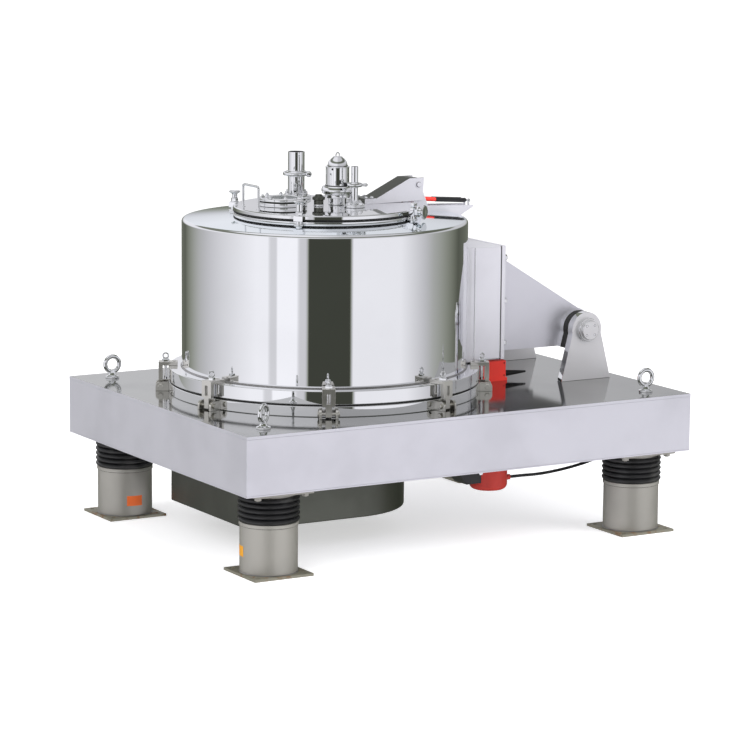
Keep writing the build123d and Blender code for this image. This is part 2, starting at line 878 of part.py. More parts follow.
def wing_clamp(bore, z):
    reach = bore + clamp_wing_reach
    wing = rod_x(clamp_wing_radius, bore + clamp_band / 2, reach, 0, z)
    wing += block(reach - clamp_wing_thick, reach, -clamp_wing_half, clamp_wing_half,
                  z - clamp_wing_radius, z + clamp_wing_radius)
    hinge = rod_y(clamp_wing_radius, -clamp_wing_radius, clamp_wing_radius, -bore - clamp_band, z)
    return clamp_ring(bore, z) + wing + hinge


def tube_clamps():
    turn = Rot(0, 0, clamp_wing_angle)
    feed = on_lid(turn * barrel_clamp(feed_ferrule_radius, feed_clamp_z), feed_x, feed_y)
    inlet = on_lid(turn * wing_clamp(inlet_ferrule_radius, inlet_clamp_z), inlet_x, inlet_y)
    return Compound(children=[feed, inlet])


def spray_fitting():
    top = lid_top_z + spray_height
    wide = spray_radius + spray_collar
    step_z = lid_top_z + spray_collar_height
    fitting = turned([(0, lid_top_z), (wide, lid_top_z), (wide, step_z), (spray_radius, step_z),
                      (spray_radius, top - spray_taper), (spray_radius - spray_taper, top), (0, top)])
    return on_lid(fitting, spray_x, spray_y)


def sight_lamp():
    z1 = lid_top_z + lamp_neck
    z2 = z1 + lamp_flange
    z3 = z2 + lamp_collar
    z4 = z3 + lamp_body
    z5 = z4 + lamp_dome
    corners = [(0, lid_top_z), (lamp_neck_radius, lid_top_z), (lamp_neck_radius, z1),
               (lamp_flange_radius, z1), (lamp_flange_radius, z2),
               (lamp_collar_radius, z2 + lamp_collar_round),
               (lamp_collar_radius, z3 - lamp_collar_round), (lamp_body_radius, z3),
               (lamp_body_radius, z4 - lamp_shoulder), (lamp_body_radius - lamp_shoulder, z4),
               (lamp_dome_radius, z4)]
    wall = Polyline(*[(r, 0, z) for r, z in corners])
    dome = ThreePointArc(wall @ 1, (lamp_dome_waist, 0, (z4 + z5) / 2), (lamp_dome_top_radius, 0, z5))
    cap = Polyline(dome @ 1, (0, 0, z5), (0, 0, lid_top_z))
    body = revolve(make_face([wall, dome, cap]), Axis.Z)
    ring_z = z5 + lamp_ring_radius - lamp_ring_bar
    body += Pos(0, 0, ring_z) * Rot(90, 0, 0) * Torus(lamp_ring_radius, lamp_ring_bar)
    return on_lid(body, lamp_x, lamp_y)


def lid_arm():
    foot_top = lid_top_z + lid_arm_foot_height
    knee_x = lid_hinge_x - lid_arm_knee_reach
    end_x = lid_hinge_x + lid_arm_end_reach
    half = lid_arm_half_width
    outline = [(lid_arm_foot_end_x, lid_top_z), (lid_arm_foot_end_x, foot_top), (knee_x, lid_arm_top_z),
               (end_x, lid_arm_top_z), (end_x - lid_arm_end_slant, lid_top_z + lid_arm_lift)]
    cheek = side_plate(outline, cheek_inner_y, half)
    cheek -= rod_y(lid_pin_radius + lid_pin_play, cheek_inner_y - 1, half + 1, lid_hinge_x, lid_hinge_z)
    pin_start = strut_y + strut_eye_width / 2 + strut_pin_gap
    cheek += rod_y(strut_pin_radius, pin_start, cheek_inner_y, strut_eye_x, strut_eye_z)
    skin = lid_arm_plate
    slope = [(lid_arm_foot_end_x, foot_top - skin), (lid_arm_foot_end_x, foot_top),
             (knee_x, lid_arm_top_z), (lid_hinge_x, lid_arm_top_z),
             (lid_hinge_x, lid_arm_top_z - skin), (knee_x, lid_arm_top_z - skin)]
    arm = cheek + mirror(cheek, about=Plane.XZ) + side_plate(slope, -half, half)
    return arm + block(lid_arm_foot_x, lid_arm_foot_end_x, -half, half, lid_top_z, foot_top)


def bracket_outline():
    ear_left = lid_hinge_x - bracket_ear_radius
    ear_right = lid_hinge_x + bracket_ear_radius
    wall_x = drum_x + drum_radius
    low_z = drum_rim_z - bracket_wall_drop
    return [(ear_left + bracket_ear_radius / 2, low_z), (ear_left, lid_hinge_z), (ear_right, lid_hinge_z),
            (lid_hinge_x + bracket_shelf_reach, drum_rim_z + bracket_shelf_rise),
            (bracket_tip_x, bracket_tip_z), (bracket_tip_x, bracket_tip_z - bracket_bridge),
            (wall_x, low_z)]


def lid_bracket():
    plate = side_plate(bracket_outline(), bracket_inner_y, bracket_outer_y)
    plate += rod_y(bracket_ear_radius, bracket_inner_y, bracket_outer_y, lid_hinge_x, lid_hinge_z)
    head_start = lid_arm_half_width + lid_pin_play
    head_end = head_start + lid_pin_head
    plate += rod_y(lid_pin_radius, bracket_inner_y, head_end, lid_hinge_x, lid_hinge_z)
    plate += rod_y(lid_pin_head_radius, head_start, head_end, lid_hinge_x, lid_hinge_z)
    shelf_top = bracket_tip_z - bracket_bridge
    bridge = block(strut_ball_x - strut_ball_inset, strut_ball_x + strut_ball_inset,
                   -bracket_inner_y, bracket_inner_y, shelf_top - bracket_bridge, shelf_top)
    bracket = plate + mirror(plate, about=Plane.XZ) + bridge
    stud_top = strut_ball_z - strut_ball_radius - seal_gap
    for side in (-1, 1):
        bracket += rod(strut_ball_stud, shelf_top, stud_top, strut_ball_x, side * strut_y)
    return bracket - drum_envelope()


def along_strut(shape):
    rise = math.degrees(math.atan2(strut_eye_z - strut_ball_z, strut_ball_x - strut_eye_x))
    return Pos(strut_ball_x, strut_y, strut_ball_z) * Rot(0, rise, 0) * shape


def strut_tube():
    tube = rod_x(strut_tube_radius, -strut_tube_end, -strut_tube_start, 0, 0)
    tube += rod_x(strut_ball_stud, -strut_tube_start, -strut_ball_radius / 2, 0, 0)
    tube += Sphere(strut_ball_radius)
    bore = strut_rod_radius + strut_bore_play
    return along_strut(tube - rod_x(bore, -strut_tube_end - 1, -strut_tube_end + strut_bore_depth, 0, 0))


def strut_collar():
    end = strut_tube_end + strut_collar_length
    collar = rod_x(strut_tube_radius - strut_collar_step, -end, -strut_tube_end, 0, 0)
    bore = strut_rod_radius + strut_bore_play
    return along_strut(collar - rod_x(bore, -end - 1, 1 - strut_tube_end, 0, 0))


def strut_rod():
    inside = strut_tube_end - strut_bore_depth + strut_ball_radius
    shaft = rod_x(strut_rod_radius, -strut_length + strut_eye_radius / 2, -inside, 0, 0)
    eye = rod_y(strut_eye_radius, -strut_eye_width / 2, strut_eye_width / 2, -strut_length, 0)
    return along_strut(shaft + eye)


def build_base():
    keep_as("platform_top", platform_top())
    keep_as("platform_skirt", platform_skirt())
    keep_as("platform_floor", platform_floor())
    names = ["left_front", "left_rear", "right_front", "right_rear"]
    for name, (x, y) in zip(names, corner_points(leg_x, leg_y)):
        keep_as("leg_" + name, Pos(x, y, 0) * leg_housing())
        keep_as("bellows_" + name, Pos(x, y, 0) * leg_bellows())
    caps = [Pos(x, y, 0) * leg_cap() for x, y in corner_points(leg_x, leg_y)]
    keep_as("leg_caps", Compound(children=caps))
    keep_as("lifting_eyes", lifting_eyes())
    keep_as("drive_guard", drive_guard())
    keep_as("lower_ring", lower_ring())
    keep_as("clamp_lugs", clamp_lugs())
    keep_as("ring_gasket", ring_gasket())
    keep_as("basket", basket())
    keep_as("spindle", spindle())
    keep_as("hinge_ears", both_sides(hinge_plate(ear_start_y, ear_plate, hinge_pin_radius + ear_fit)))
    keep_as("hinge_seals", both_sides(hinge_seal()))
    keep_as("hinge_pin", hinge_pin())
    keep_as("interlock_switch", interlock_switch())
    keep_as("switch_boot", switch_boot())
    keep_as("junction_pot", junction_pot())
    keep_as("junction_box", junction_box())
    keep_as("end_box", end_box())
    keep_as("junction_cable", cable())


def build_cover():
    keep_as("upper_ring", upper_ring())
    keep_as("drum_shell", drum_shell())
    keep_as("drum_top", drum_top())
    keep_as("hinge_box", hinge_box())
    keep_as("hinge_box_gasket", box_slab(box_face_x, box_face_x + box_gasket, -ring_edge))
    keep_as("hinge_box_flange", box_slab(box_face_x + box_gasket, flange_back_x, 0))
    keep_as("cover_arm", cover_arm())
    keep_as("clamp_straps", clamp_straps())
    keep_as("clamp_screws", clamp_screws())
    keep_as("lid_bracket", lid_bracket())


def build_lid():
    keep_as("feed_lid", lid_plate())
    keep_as("lid_gasket", lid_gasket())
    keep_as("lid_knobs", lid_knobs())
    keep_as("lid_handle", lid_handle())
    keep_as("sight_port", sight_port())
    keep_as("sight_glass", sight_glass())
    keep_as("feed_tube", feed_tube())
    keep_as("inlet_tube", inlet_tube())
    keep_as("tube_clamps", tube_clamps())
    keep_as("spray_fitting", spray_fitting())
    keep_as("sight_lamp", sight_lamp())
    keep_as("lid_arm", lid_arm())
    keep_as("strut_tubes", both_sides(strut_tube()))
    keep_as("strut_collars", both_sides(strut_collar()))
    keep_as("strut_rods", both_sides(strut_rod()))


os.makedirs("parts", exist_ok=True)
build_base()
build_cover()
build_lid()
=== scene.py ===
import json
import math

import bmesh
import bpy
from mathutils import Matrix, Vector


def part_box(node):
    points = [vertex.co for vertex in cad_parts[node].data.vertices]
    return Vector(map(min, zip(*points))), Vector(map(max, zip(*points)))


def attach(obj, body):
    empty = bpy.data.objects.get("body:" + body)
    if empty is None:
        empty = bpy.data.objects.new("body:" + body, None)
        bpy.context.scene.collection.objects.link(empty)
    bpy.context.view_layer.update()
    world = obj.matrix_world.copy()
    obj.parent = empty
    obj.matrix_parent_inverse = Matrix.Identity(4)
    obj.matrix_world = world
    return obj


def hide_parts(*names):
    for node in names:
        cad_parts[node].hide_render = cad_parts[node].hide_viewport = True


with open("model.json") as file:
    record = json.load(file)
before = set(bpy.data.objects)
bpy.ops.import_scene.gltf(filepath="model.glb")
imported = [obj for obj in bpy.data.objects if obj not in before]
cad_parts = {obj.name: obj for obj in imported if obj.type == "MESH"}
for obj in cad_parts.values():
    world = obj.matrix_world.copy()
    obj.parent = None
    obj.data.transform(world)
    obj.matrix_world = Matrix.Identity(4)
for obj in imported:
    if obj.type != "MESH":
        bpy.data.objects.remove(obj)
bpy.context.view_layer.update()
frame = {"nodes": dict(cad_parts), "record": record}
slotOf = {part["node"]: part["material_slot"] for part in frame["record"]["subparts"]}
print("frame loaded")


# A Wire is a shader socket that takes Python operators, a Shader makes the nodes
class Wire:
    def __init__(self, shader, socket):
        self.shader = shader
        self.socket = socket

    def maths(self, operation, first, second):
        return self.shader.node("ShaderNodeMath", {"operation": operation}, {0: first, 1: second})

    def __add__(self, other):
        return self.maths("ADD", self, other)

    def __radd__(self, other):
        return self.maths("ADD", other, self)

    def __sub__(self, other):
        return self.maths("SUBTRACT", self, other)

    def __rsub__(self, other):
        return self.maths("SUBTRACT", other, self)

    def __mul__(self, other):
        return self.maths("MULTIPLY", self, other)

    def __rmul__(self, other):
        return self.maths("MULTIPLY", other, self)

    def __truediv__(self, other):
        return self.maths("DIVIDE", self, other)


class Shader:
    def __init__(self, tree, surface):
        self.tree = tree
        self.surface = tree.nodes[surface]

    def link(self, socket, value):
        if isinstance(value, Wire):
            self.tree.links.new(value.socket, socket)
        elif isinstance(value, tuple) and len(value) == 3 and socket.type == "RGBA":
            socket.default_value = (*value, 1.0)
        else:
            socket.default_value = value

    def node(self, kind, settings, inputs, output=0):
        made = self.tree.nodes.new(kind)
        for key, value in settings.items():
            if key == "stops":
                self.setStops(made.color_ramp.elements, value)
            else:
                setattr(made, key, value)
        for key, value in inputs.items():
            self.link(made.inputs[key], value)
        return Wire(self, made.outputs[output])

    def setStops(self, elements, stops):
        while len(elements) < len(stops):
            elements.new(0.5)
        for element, (position, level) in zip(elements, sorted(stops)):
            element.position = position
            element.color = (level, level, level, 1.0)

    def feed(self, socket, value):
        self.link(self.surface.inputs[socket], value)

    def place(self, stretch=(1, 1, 1)):
        coordinates = self.node("ShaderNodeTexCoord", {}, {}, "Object")
        return self.node("ShaderNodeMapping", {}, {"Vector": coordinates, "Scale": stretch})

    def noise(self, scale, detail=3.0, stretch=(1, 1, 1)):
        inputs = {"Vector": self.place(stretch), "Scale": scale, "Detail": detail}
        return self.node("ShaderNodeTexNoise", {}, inputs)

    def ramp(self, value, low, high, start=0.0, end=1.0):
        limits = {"Value": value, "From Min": low, "From Max": high, "To Min": start, "To Max": end}
        return self.node("ShaderNodeMapRange", {"interpolation_type": "SMOOTHSTEP"}, limits)

    def mix(self, factor, first, second):
        return self.node("ShaderNodeMix", {"data_type": "RGBA"}, {0: factor, 6: first, 7: second}, 2)

    def bump(self, height, strength, distance):
        inputs = {"Height": height, "Strength": strength, "Distance": distance}
        self.feed("Normal", self.node("ShaderNodeBump", {}, inputs))


def newLook(name, base, metallic, roughness):
    material = bpy.data.materials.new(name)
    material.use_nodes = True
    look = Shader(material.node_tree, "Principled BSDF")
    look.feed("Base Color", base)
    look.feed("Metallic", metallic)
    look.feed("Roughness", roughness)
    return material, look


# Steels: base colour, roughness, smear of the polish, wave of the sheet, blast or brush grain, stain,
# and how metallic a blasted or brushed one is
steelLooks = {
    "mirrorSteel": {"base": (0.90, 0.905, 0.92), "rough": 0.015, "smear": 0.03, "wave": 0.04, "stain": 0.97},
    "castSteel": {"base": (0.82, 0.80, 0.75), "rough": 0.24, "smear": 0.12, "blast": 0.20, "stain": 0.84},
    "plateSteel": {"base": (0.36, 0.365, 0.35), "rough": 0.05, "smear": 0.08, "wave": 0.06, "stain": 0.85},
    # coneSteel: bluer copy of the mirror steel, a painted reflection tint for faces that point up
    "coneSteel": {"base": (0.86, 0.92, 0.96), "rough": 0.03, "smear": 0.04, "wave": 0.04, "stain": 0.97},
    "satinSteel": {"base": (0.93, 0.92, 0.98), "rough": 0.44, "smear": 0.08, "blast": 0.20, "stain": 0.93,
                   "metal": 0.7},
    "sheetSteel": {"base": (0.91, 0.90, 0.965), "rough": 0.44, "smear": 0.08, "blast": 0.20, "stain": 0.93,
                   "metal": 0.92},
    "dullSteel": {"base": (0.80, 0.79, 0.81), "rough": 0.42, "smear": 0.10, "blast": 0.22, "stain": 0.88,
                  "metal": 0.7},
    "legSteel": {"base": (0.43, 0.415, 0.38), "rough": 0.38, "smear": 0.10, "brush": 0.25, "stain": 0.88,
                 "metal": 0.5},
    # guardSteel: its low base colour is painted shade and dark reflection, not the steel's own tone
    "guardSteel": {"base": (0.13, 0.135, 0.115), "rough": 0.30, "smear": 0.10, "wave": 0.06, "stain": 0.80},
    "weldSteel": {"base": (0.50, 0.49, 0.50), "rough": 0.34, "smear": 0.10, "blast": 0.35, "stain": 0.60},
}


def steelLook(name):
    values = steelLooks[name]
    material, look = newLook(name, values["base"], values.get("metal", 1.0), values["rough"])
    look.feed("Roughness", values["rough"] + values["smear"] * look.noise(4.0, 5.0))
    stained = tuple(values["stain"] * channel for channel in values["base"])
    look.feed("Base Color", look.mix(look.ramp(look.noise(3.1, 4.0), 0.42, 0.68), values["base"], stained))
    if "wave" in values:
        look.bump(look.noise(2.6, 1.0), values["wave"], 0.01)
    if "blast" in values:
        look.bump(look.noise(850.0, 2.0), values["blast"], 0.0005)
    if "brush" in values:
        look.bump(look.noise(9.0, 3.0, (1, 1, 55)), values["brush"], 0.0008)
    return material


# Feet of raw steel with patches of rust
rawLook = {"base": (0.33, 0.315, 0.25), "rust": (0.24, 0.15, 0.09), "metal": 0.55, "rough": 0.5}


def rawSteelLook():
    material, look = newLook("rawSteel", rawLook["base"], rawLook["metal"], rawLook["rough"])
    rust = look.ramp(look.noise(26.0, 6.0), 0.52, 0.66)
    look.feed("Base Color", look.mix(rust, rawLook["base"], rawLook["rust"]))
    look.feed("Metallic", rawLook["metal"] - 0.5 * rust)
    look.feed("Roughness", rawLook["rough"] + 0.3 * rust)
    look.bump(look.noise(160.0, 4.0) + 0.6 * rust, 0.4, 0.0008)
    return material


# Rubber, plastic, paint and the bare patches on the legs, and shadowLine, a near-black that is painted shade
# in seams, gaps and outlines
plainLooks = {
    "bellowsRubber": {"base": (0.012, 0.012, 0.013), "rough": 0.30, "grain": 500.0,
                      "dust": (0.06, 0.06, 0.058)},
    "blackRubber": {"base": (0.010, 0.010, 0.010), "rough": 0.50, "grain": 900.0, "dust": (0.03, 0.03, 0.03)},
    "redPlastic": {"base": (0.95, 0.055, 0.04), "rough": 0.40, "grain": 500.0, "dust": (0.84, 0.05, 0.04)},
    "blackPlastic": {"base": (0.014, 0.014, 0.016), "rough": 0.38, "grain": 500.0,
                     "dust": (0.03, 0.03, 0.03)},
    "blackPaint": {"base": (0.012, 0.012, 0.014), "rough": 0.26, "grain": 260.0, "dust": (0.03, 0.03, 0.03)},
    "redPaint": {"base": (0.60, 0.036, 0.024), "rough": 0.42, "grain": 220.0, "dust": (0.46, 0.04, 0.03)},
    "orangePatch": {"base": (0.86, 0.16, 0.03), "rough": 0.45, "grain": 300.0, "dust": (0.70, 0.14, 0.03)},
    "amberPatch": {"base": (0.90, 0.40, 0.015), "rough": 0.45, "grain": 300.0, "dust": (0.74, 0.32, 0.02)},
    "shadowLine": {"base": (0.004, 0.004, 0.004), "rough": 0.80, "grain": 300.0,
                   "dust": (0.008, 0.008, 0.008)},
}


def plainLook(name):
    values = plainLooks[name]
    material, look = newLook(name, values["base"], 0.0, values["rough"])
    dusty = look.ramp(look.noise(9.0, 4.0), 0.48, 0.78)
    look.feed("Base Color", look.mix(dusty, values["base"], values["dust"]))
    look.feed("Roughness", values["rough"] + 0.14 * look.noise(24.0))
    look.bump(look.noise(values["grain"], 2.0), 0.15, 0.0004)
    return material


def glassLook():
    material, look = newLook("portGlass", (0.10, 0.12, 0.12), 0.0, 0.02)
    look.feed("Alpha", 0.55)
    look.feed("Roughness", 0.02 + 0.05 * look.noise(20.0))
    return material


looks = {name: steelLook(name) for name in steelLooks}
looks.update({name: plainLook(name) for name in plainLooks})
looks["rawSteel"] = rawSteelLook()
looks["portGlass"] = glassLook()
slotLooks = {
    "polished_steel": "mirrorSteel",
    "satin_steel": "satinSteel",
    "guard_steel": "guardSteel",
    "bellows_rubber": "bellowsRubber",
    "black_rubber": "blackRubber",
    "red_plastic": "redPlastic",
    "black_plastic": "blackPlastic",
    "black_paint": "blackPaint",
    "red_paint": "redPaint",
    "port_glass": "portGlass",
}


def dressNodes():
    for name, node in frame["nodes"].items():
        node.data.materials.clear()
        node.data.materials.append(looks[slotLooks[slotOf[name]]])


dressNodes()
print("materials made")


# Shapes, each a bmesh of its own
def spot(x=0.0, y=0.0, z=0.0, turn=0.0, axis="Z"):
    return Matrix.Translation((x, y, z)) @ Matrix.Rotation(math.radians(turn), 4, axis)


def polar(radius, angle, z=0.0, turn=0.0, centre=(0.0, 0.0)):
    swing = math.radians(angle)
    return spot(centre[0] + radius * math.cos(swing), centre[1] + radius * math.sin(swing), z, angle + turn)


def rounded(points, segments=4):
    line = []
    for index, point in enumerate(points):
        here = Vector(point[:2])
        if len(point) == 2:
            line.append(here)
            continue
        back = (Vector(points[index - 1][:2]) - here).normalized()
        ahead = (Vector(points[(index + 1) % len(points)][:2]) - here).normalized()
        half = back.angle(ahead) / 2
        centre = here + (back + ahead).normalized() * point[2] / math.sin(half)
        reach = point[2] / math.tan(half)
        first, last = here + back * reach - centre, here + ahead * reach - centre
        for step in range(segments + 1):
            line.append(centre + first.lerp(last, step / segments).normalized() * point[2])
    return line


def spun(points, steps=64, closed=False, angle=360.0, segments=4):
    shape = bmesh.new()
    line = [shape.verts.new((r, 0, z)) for r, z in rounded(points, segments)]
    ends = line[1:] + line[:1] if closed else line[1:]
    edges = [shape.edges.new(pair) for pair in zip(line, ends)]
    bmesh.ops.spin(shape, geom=line + edges, cent=(0, 0, 0), axis=(0, 0, 1), dvec=(0, 0, 0),
                   angle=math.radians(angle), steps=steps, use_merge=angle == 360.0, use_duplicate=False)
    bmesh.ops.remove_doubles(shape, verts=shape.verts, dist=1e-5)
    bmesh.ops.recalc_face_normals(shape, faces=shape.faces)
    return shape


def rod(radius, low, high, edge=0.0006, steps=24):
    return spun([(0, low), (radius, low, edge), (radius, high, edge), (0, high)], steps, segments=2)


def tube(outer, inner, low, high, edge=0.001, steps=48):
    return spun([(inner, low, edge), (outer, low, edge), (outer, high, edge), (inner, high, edge)],
                steps, True, segments=2)


def nut(radius, low, high):
    slope = (high - low) * 0.18
    return spun([(0, low), (radius, low), (radius, high - slope), (radius * 0.86, high), (0, high)], 6)


def hoop(radius, bar, steps=48, sides=12):
    angles = [2 * math.pi * side / sides for side in range(sides)]
    return spun([(radius + bar * math.cos(a), bar * math.sin(a)) for a in angles], steps, True)


def eased(shape, width, limit=35.0):
    edges = [edge for edge in shape.edges if len(edge.link_faces) == 2
             and edge.calc_face_angle() > math.radians(limit)]
    bmesh.ops.bevel(shape, geom=edges, offset=width, offset_type="OFFSET", affect="EDGES", segments=2,
                    profile=0.5, material=-1, clamp_overlap=True)
    return shape


def block(low, high, edge=0.001):
    shape = bmesh.new()
    bmesh.ops.create_cube(shape, size=1.0)
    size = Vector(high) - Vector(low)
    bmesh.ops.scale(shape, vec=size, verts=shape.verts)
    bmesh.ops.translate(shape, vec=(Vector(high) + Vector(low)) / 2, verts=shape.verts)
    return eased(shape, edge)


def slab(points, low, high, edge=0.001):
    shape = bmesh.new()
    face = shape.faces.new([shape.verts.new((x, y, low)) for x, y in rounded(points)])
    raised = bmesh.ops.extrude_face_region(shape, geom=[face])["geom"]
    bmesh.ops.translate(shape, vec=(0, 0, high - low),
                        verts=[v for v in raised if isinstance(v, bmesh.types.BMVert)])
    bmesh.ops.recalc_face_normals(shape, faces=shape.faces)
    return eased(shape, edge)


def carried(node, edge=0.001, limit=35.0, keep=None):
    shape = bmesh.new()
    shape.from_mesh(frame["nodes"][node].data)
    if keep:
        bmesh.ops.delete(shape, geom=[f for f in shape.faces if not keep(f.calc_center_median())],
                         context="FACES")
    bmesh.ops.remove_doubles(shape, verts=shape.verts, dist=2e-5)
    bmesh.ops.dissolve_limit(shape, angle_limit=math.radians(0.6), verts=shape.verts, edges=shape.edges)
    return eased(shape, edge, limit) if edge else shape


def finishPiece(name, body, lookNames, parts, replaces, sharp=42.0):
    whole = bmesh.new()
    for shape, look, places in parts:
        for place in places:
            copy = bpy.data.meshes.new("copy")
            shape.to_mesh(copy)
            copy.transform(place)
            if place.determinant() < 0:
                copy.flip_normals()
            first = len(whole.faces)
            whole.from_mesh(copy)
            whole.faces.ensure_lookup_table()
            for face in whole.faces[first:]:
                face.material_index = look(face) if callable(look) else look
            bpy.data.meshes.remove(copy)
        shape.free()
    for face in whole.faces:
        face.smooth = True
    for edge in whole.edges:
        edge.smooth = len(edge.link_faces) == 2 and edge.calc_face_angle(0.0) < math.radians(sharp)
    mesh = bpy.data.meshes.new(name)
    whole.to_mesh(mesh)
    whole.free()
    for look in lookNames:
        mesh.materials.append(looks[look])
    piece = bpy.data.objects.new(name, mesh)
    bpy.context.collection.objects.link(piece)
    weighted = piece.modifiers.new("weighted", "WEIGHTED_NORMAL")
    weighted.keep_sharp = True
    weighted.weight = 80
    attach(piece, body)
    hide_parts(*replaces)


here = [Matrix()]


# Piece in the shape that its solid has, with eased edges
def keepPiece(name, body, node, look, edge, sharp=42.0):
    finishPiece(name, body, [look], [(carried(node, edge), 0, here)], [node], sharp)


# Camera, fitted to the photograph
cameraLook = {
    "place": (-6.572, -11.129, 2.779), "yaw": 30.532, "pitch": 9.581, "roll": 0.479, "lens": 156.82,
    "sensor": 36.0,
}


def makeCamera():
    data = bpy.data.cameras.new("camera")
    data.lens = cameraLook["lens"]
    data.sensor_width = cameraLook["sensor"]
    data.sensor_fit = "HORIZONTAL"
    data.clip_end = 200.0
    camera = bpy.data.objects.new("camera", data)
    bpy.context.collection.objects.link(camera)
    yaw = spot(turn=-cameraLook["yaw"])
    pitch = spot(turn=90 - cameraLook["pitch"], axis="X")
    roll = spot(turn=cameraLook["roll"])
    camera.matrix_world = Matrix.Translation(cameraLook["place"]) @ yaw @ pitch @ roll
    bpy.context.scene.camera = camera


# Studio: white floor and world, with the dark doorway and bright windows that the polished steel shows.
# The bands are brightness by direction, in degrees round the machine from the camera's side. The heights
# are brightness by the upward part of a direction, and the dusk dims the right side of them
studioLook = {
    "floorSize": 60.0, "floor": (0.86, 0.86, 0.87), "glow": 0.50, "world": 0.75, "cameraSide": 239.5,
    "bands": [(-180, 0.20), (-150, 0.12), (-120, 0.45), (-90, 0.70), (-55, 0.95), (-45, 0.95), (-43, 0.70),
              (-38, 0.70), (-37, 1.0), (-21, 1.0), (-19, 0.66), (-13, 0.66), (-12, 0.055), (22, 0.055),
              (23, 0.90), (64, 0.88), (98, 0.42), (136, 0.10), (180, 0.20)],
    "heights": [(0.0, 0.60), (0.20, 0.92), (0.40, 0.90), (0.47, 0.20), (0.72, 0.22), (0.80, 0.90)],
    "dusk": (-0.15, 0.20, 0.98, 0.66), "shade": (0.93, 1.0, 0.80), "light": (0.985, 0.985, 1.03),
}
lampLooks = [
    {"name": "keyLamp", "place": (-6.0, -4.5, 5.0), "size": 4.0, "power": 260.0},
    {"name": "fillLamp", "place": (5.0, -6.0, 4.0), "size": 4.0, "power": 250.0},
    {"name": "topLamp", "place": (0.0, 0.0, 6.0), "size": 4.0, "power": 160.0},
]


def makeFloor():
    material, look = newLook("studioFloor", studioLook["floor"], 0.0, 0.9)
    cameraRay = look.node("ShaderNodeLightPath", {}, {}, "Is Camera Ray")
    look.feed("Emission Color", look.mix(cameraRay, (0.0, 0.0, 0.0), (1.0, 1.0, 1.0)))
    look.feed("Emission Strength", studioLook["glow"])
    mesh = bpy.data.meshes.new("studioFloor")
    sheet = bmesh.new()
    bmesh.ops.create_grid(sheet, x_segments=1, y_segments=1, size=studioLook["floorSize"])
    sheet.to_mesh(mesh)
    sheet.free()
    mesh.materials.append(material)
    plane = bpy.data.objects.new("studioFloor", mesh)
    bpy.context.collection.objects.link(plane)
    plane.visible_glossy = False


def makeWorld():
    world = bpy.data.worlds.new("studioWorld")
    bpy.context.scene.world = world
    world.use_nodes = True
    sky = Shader(world.node_tree, "Background")
    side = math.radians(studioLook["cameraSide"])
    direction = sky.node("ShaderNodeTexCoord", {}, {}, "Generated")
    x = sky.node("ShaderNodeSeparateXYZ", {}, {0: direction}, "X")
    y = sky.node("ShaderNodeSeparateXYZ", {}, {0: direction}, "Y")
    z = sky.node("ShaderNodeSeparateXYZ", {}, {0: direction}, "Z")
    front = x * math.cos(side) + y * math.sin(side)
    across = y * math.cos(side) - x * math.sin(side)
    angle = front.maths("ARCTAN2", across, front)
    stops = [(band / 360 + 0.5, level) for band, level in studioLook["bands"]]
    bands = sky.node("ShaderNodeValToRGB", {"stops": stops}, {0: angle / (2 * math.pi) + 0.5})
    above = sky.node("ShaderNodeValToRGB", {"stops": studioLook["heights"]}, {0: z})
    above = above * sky.ramp(across, *studioLook["dusk"])
    height = sky.ramp(z, -0.02, 0.14)
    seen = sky.node("ShaderNodeMix", {"data_type": "FLOAT"}, {0: height, 2: bands, 3: above})
    glossy = sky.node("ShaderNodeLightPath", {}, {}, "Is Glossy Ray")
    shown = sky.node("ShaderNodeLightPath", {}, {}, "Is Camera Ray")
    clear = sky.node("ShaderNodeLightPath", {}, {}, "Is Transmission Ray")
    white = shown.maths("MAXIMUM", shown, clear)
    level = sky.node("ShaderNodeMix", {"data_type": "FLOAT"}, {0: glossy, 2: studioLook["world"], 3: seen})
    sky.feed("Strength", sky.node("ShaderNodeMix", {"data_type": "FLOAT"}, {0: white, 2: level, 3: 1.0}))
    tint = sky.mix(sky.ramp(seen, 0.1, 0.6), studioLook["shade"], studioLook["light"])
    sky.feed("Color", sky.mix(glossy, (1.0, 1.0, 1.0), tint))


def makeLamps():
    for look in lampLooks:
        data = bpy.data.lights.new(look["name"], "AREA")
        data.size = look["size"]
        data.energy = look["power"]
        lamp = bpy.data.objects.new(look["name"], data)
        bpy.context.collection.objects.link(lamp)
        aim = Vector((0, 0, 0.8)) - Vector(look["place"])
        facing = aim.to_track_quat("-Z", "Y").to_matrix().to_4x4()
        lamp.matrix_world = Matrix.Translation(look["place"]) @ facing
        lamp.visible_glossy = False


makeCamera()
makeFloor()
makeWorld()
makeLamps()
bpy.context.scene.view_settings.view_transform = "Standard"
print("camera and studio")


# Cable from the pot to the end box, on the route that its solid has
cableLook = {"radius": 0.006, "length": 0.518,
             "route": [(0.342, -0.460, 0.231), (0.398, -0.460, 0.231), (0.480, -0.457, 0.228),
                       (0.565, -0.452, 0.232), (0.650, -0.448, 0.241), (0.728, -0.444, 0.253),
                       (0.796, -0.440, 0.270), (0.856, -0.440, 0.270)]}


def makeCable():
    data = bpy.data.curves.new("junctionCable", "CURVE")
    data.dimensions = "3D"
    data.bevel_depth = cableLook["radius"]
    data.bevel_resolution = 5
    data.use_fill_caps = True
    spline = data.splines.new("NURBS")
    spline.points.add(len(cableLook["route"]) - 1)
    for point, target in zip(spline.points, cableLook["route"]):
        point.co = (*target, 1.0)
    spline.order_u = 3
    spline.use_endpoint_u = True
    spline.resolution_u = 12
    data.materials.append(looks["blackRubber"])
    cable = bpy.data.objects.new("junctionCable", data)
    bpy.context.collection.objects.link(cable)
    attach(cable, "base")
    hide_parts("junction_cable")


makeCable()
print("cable made")

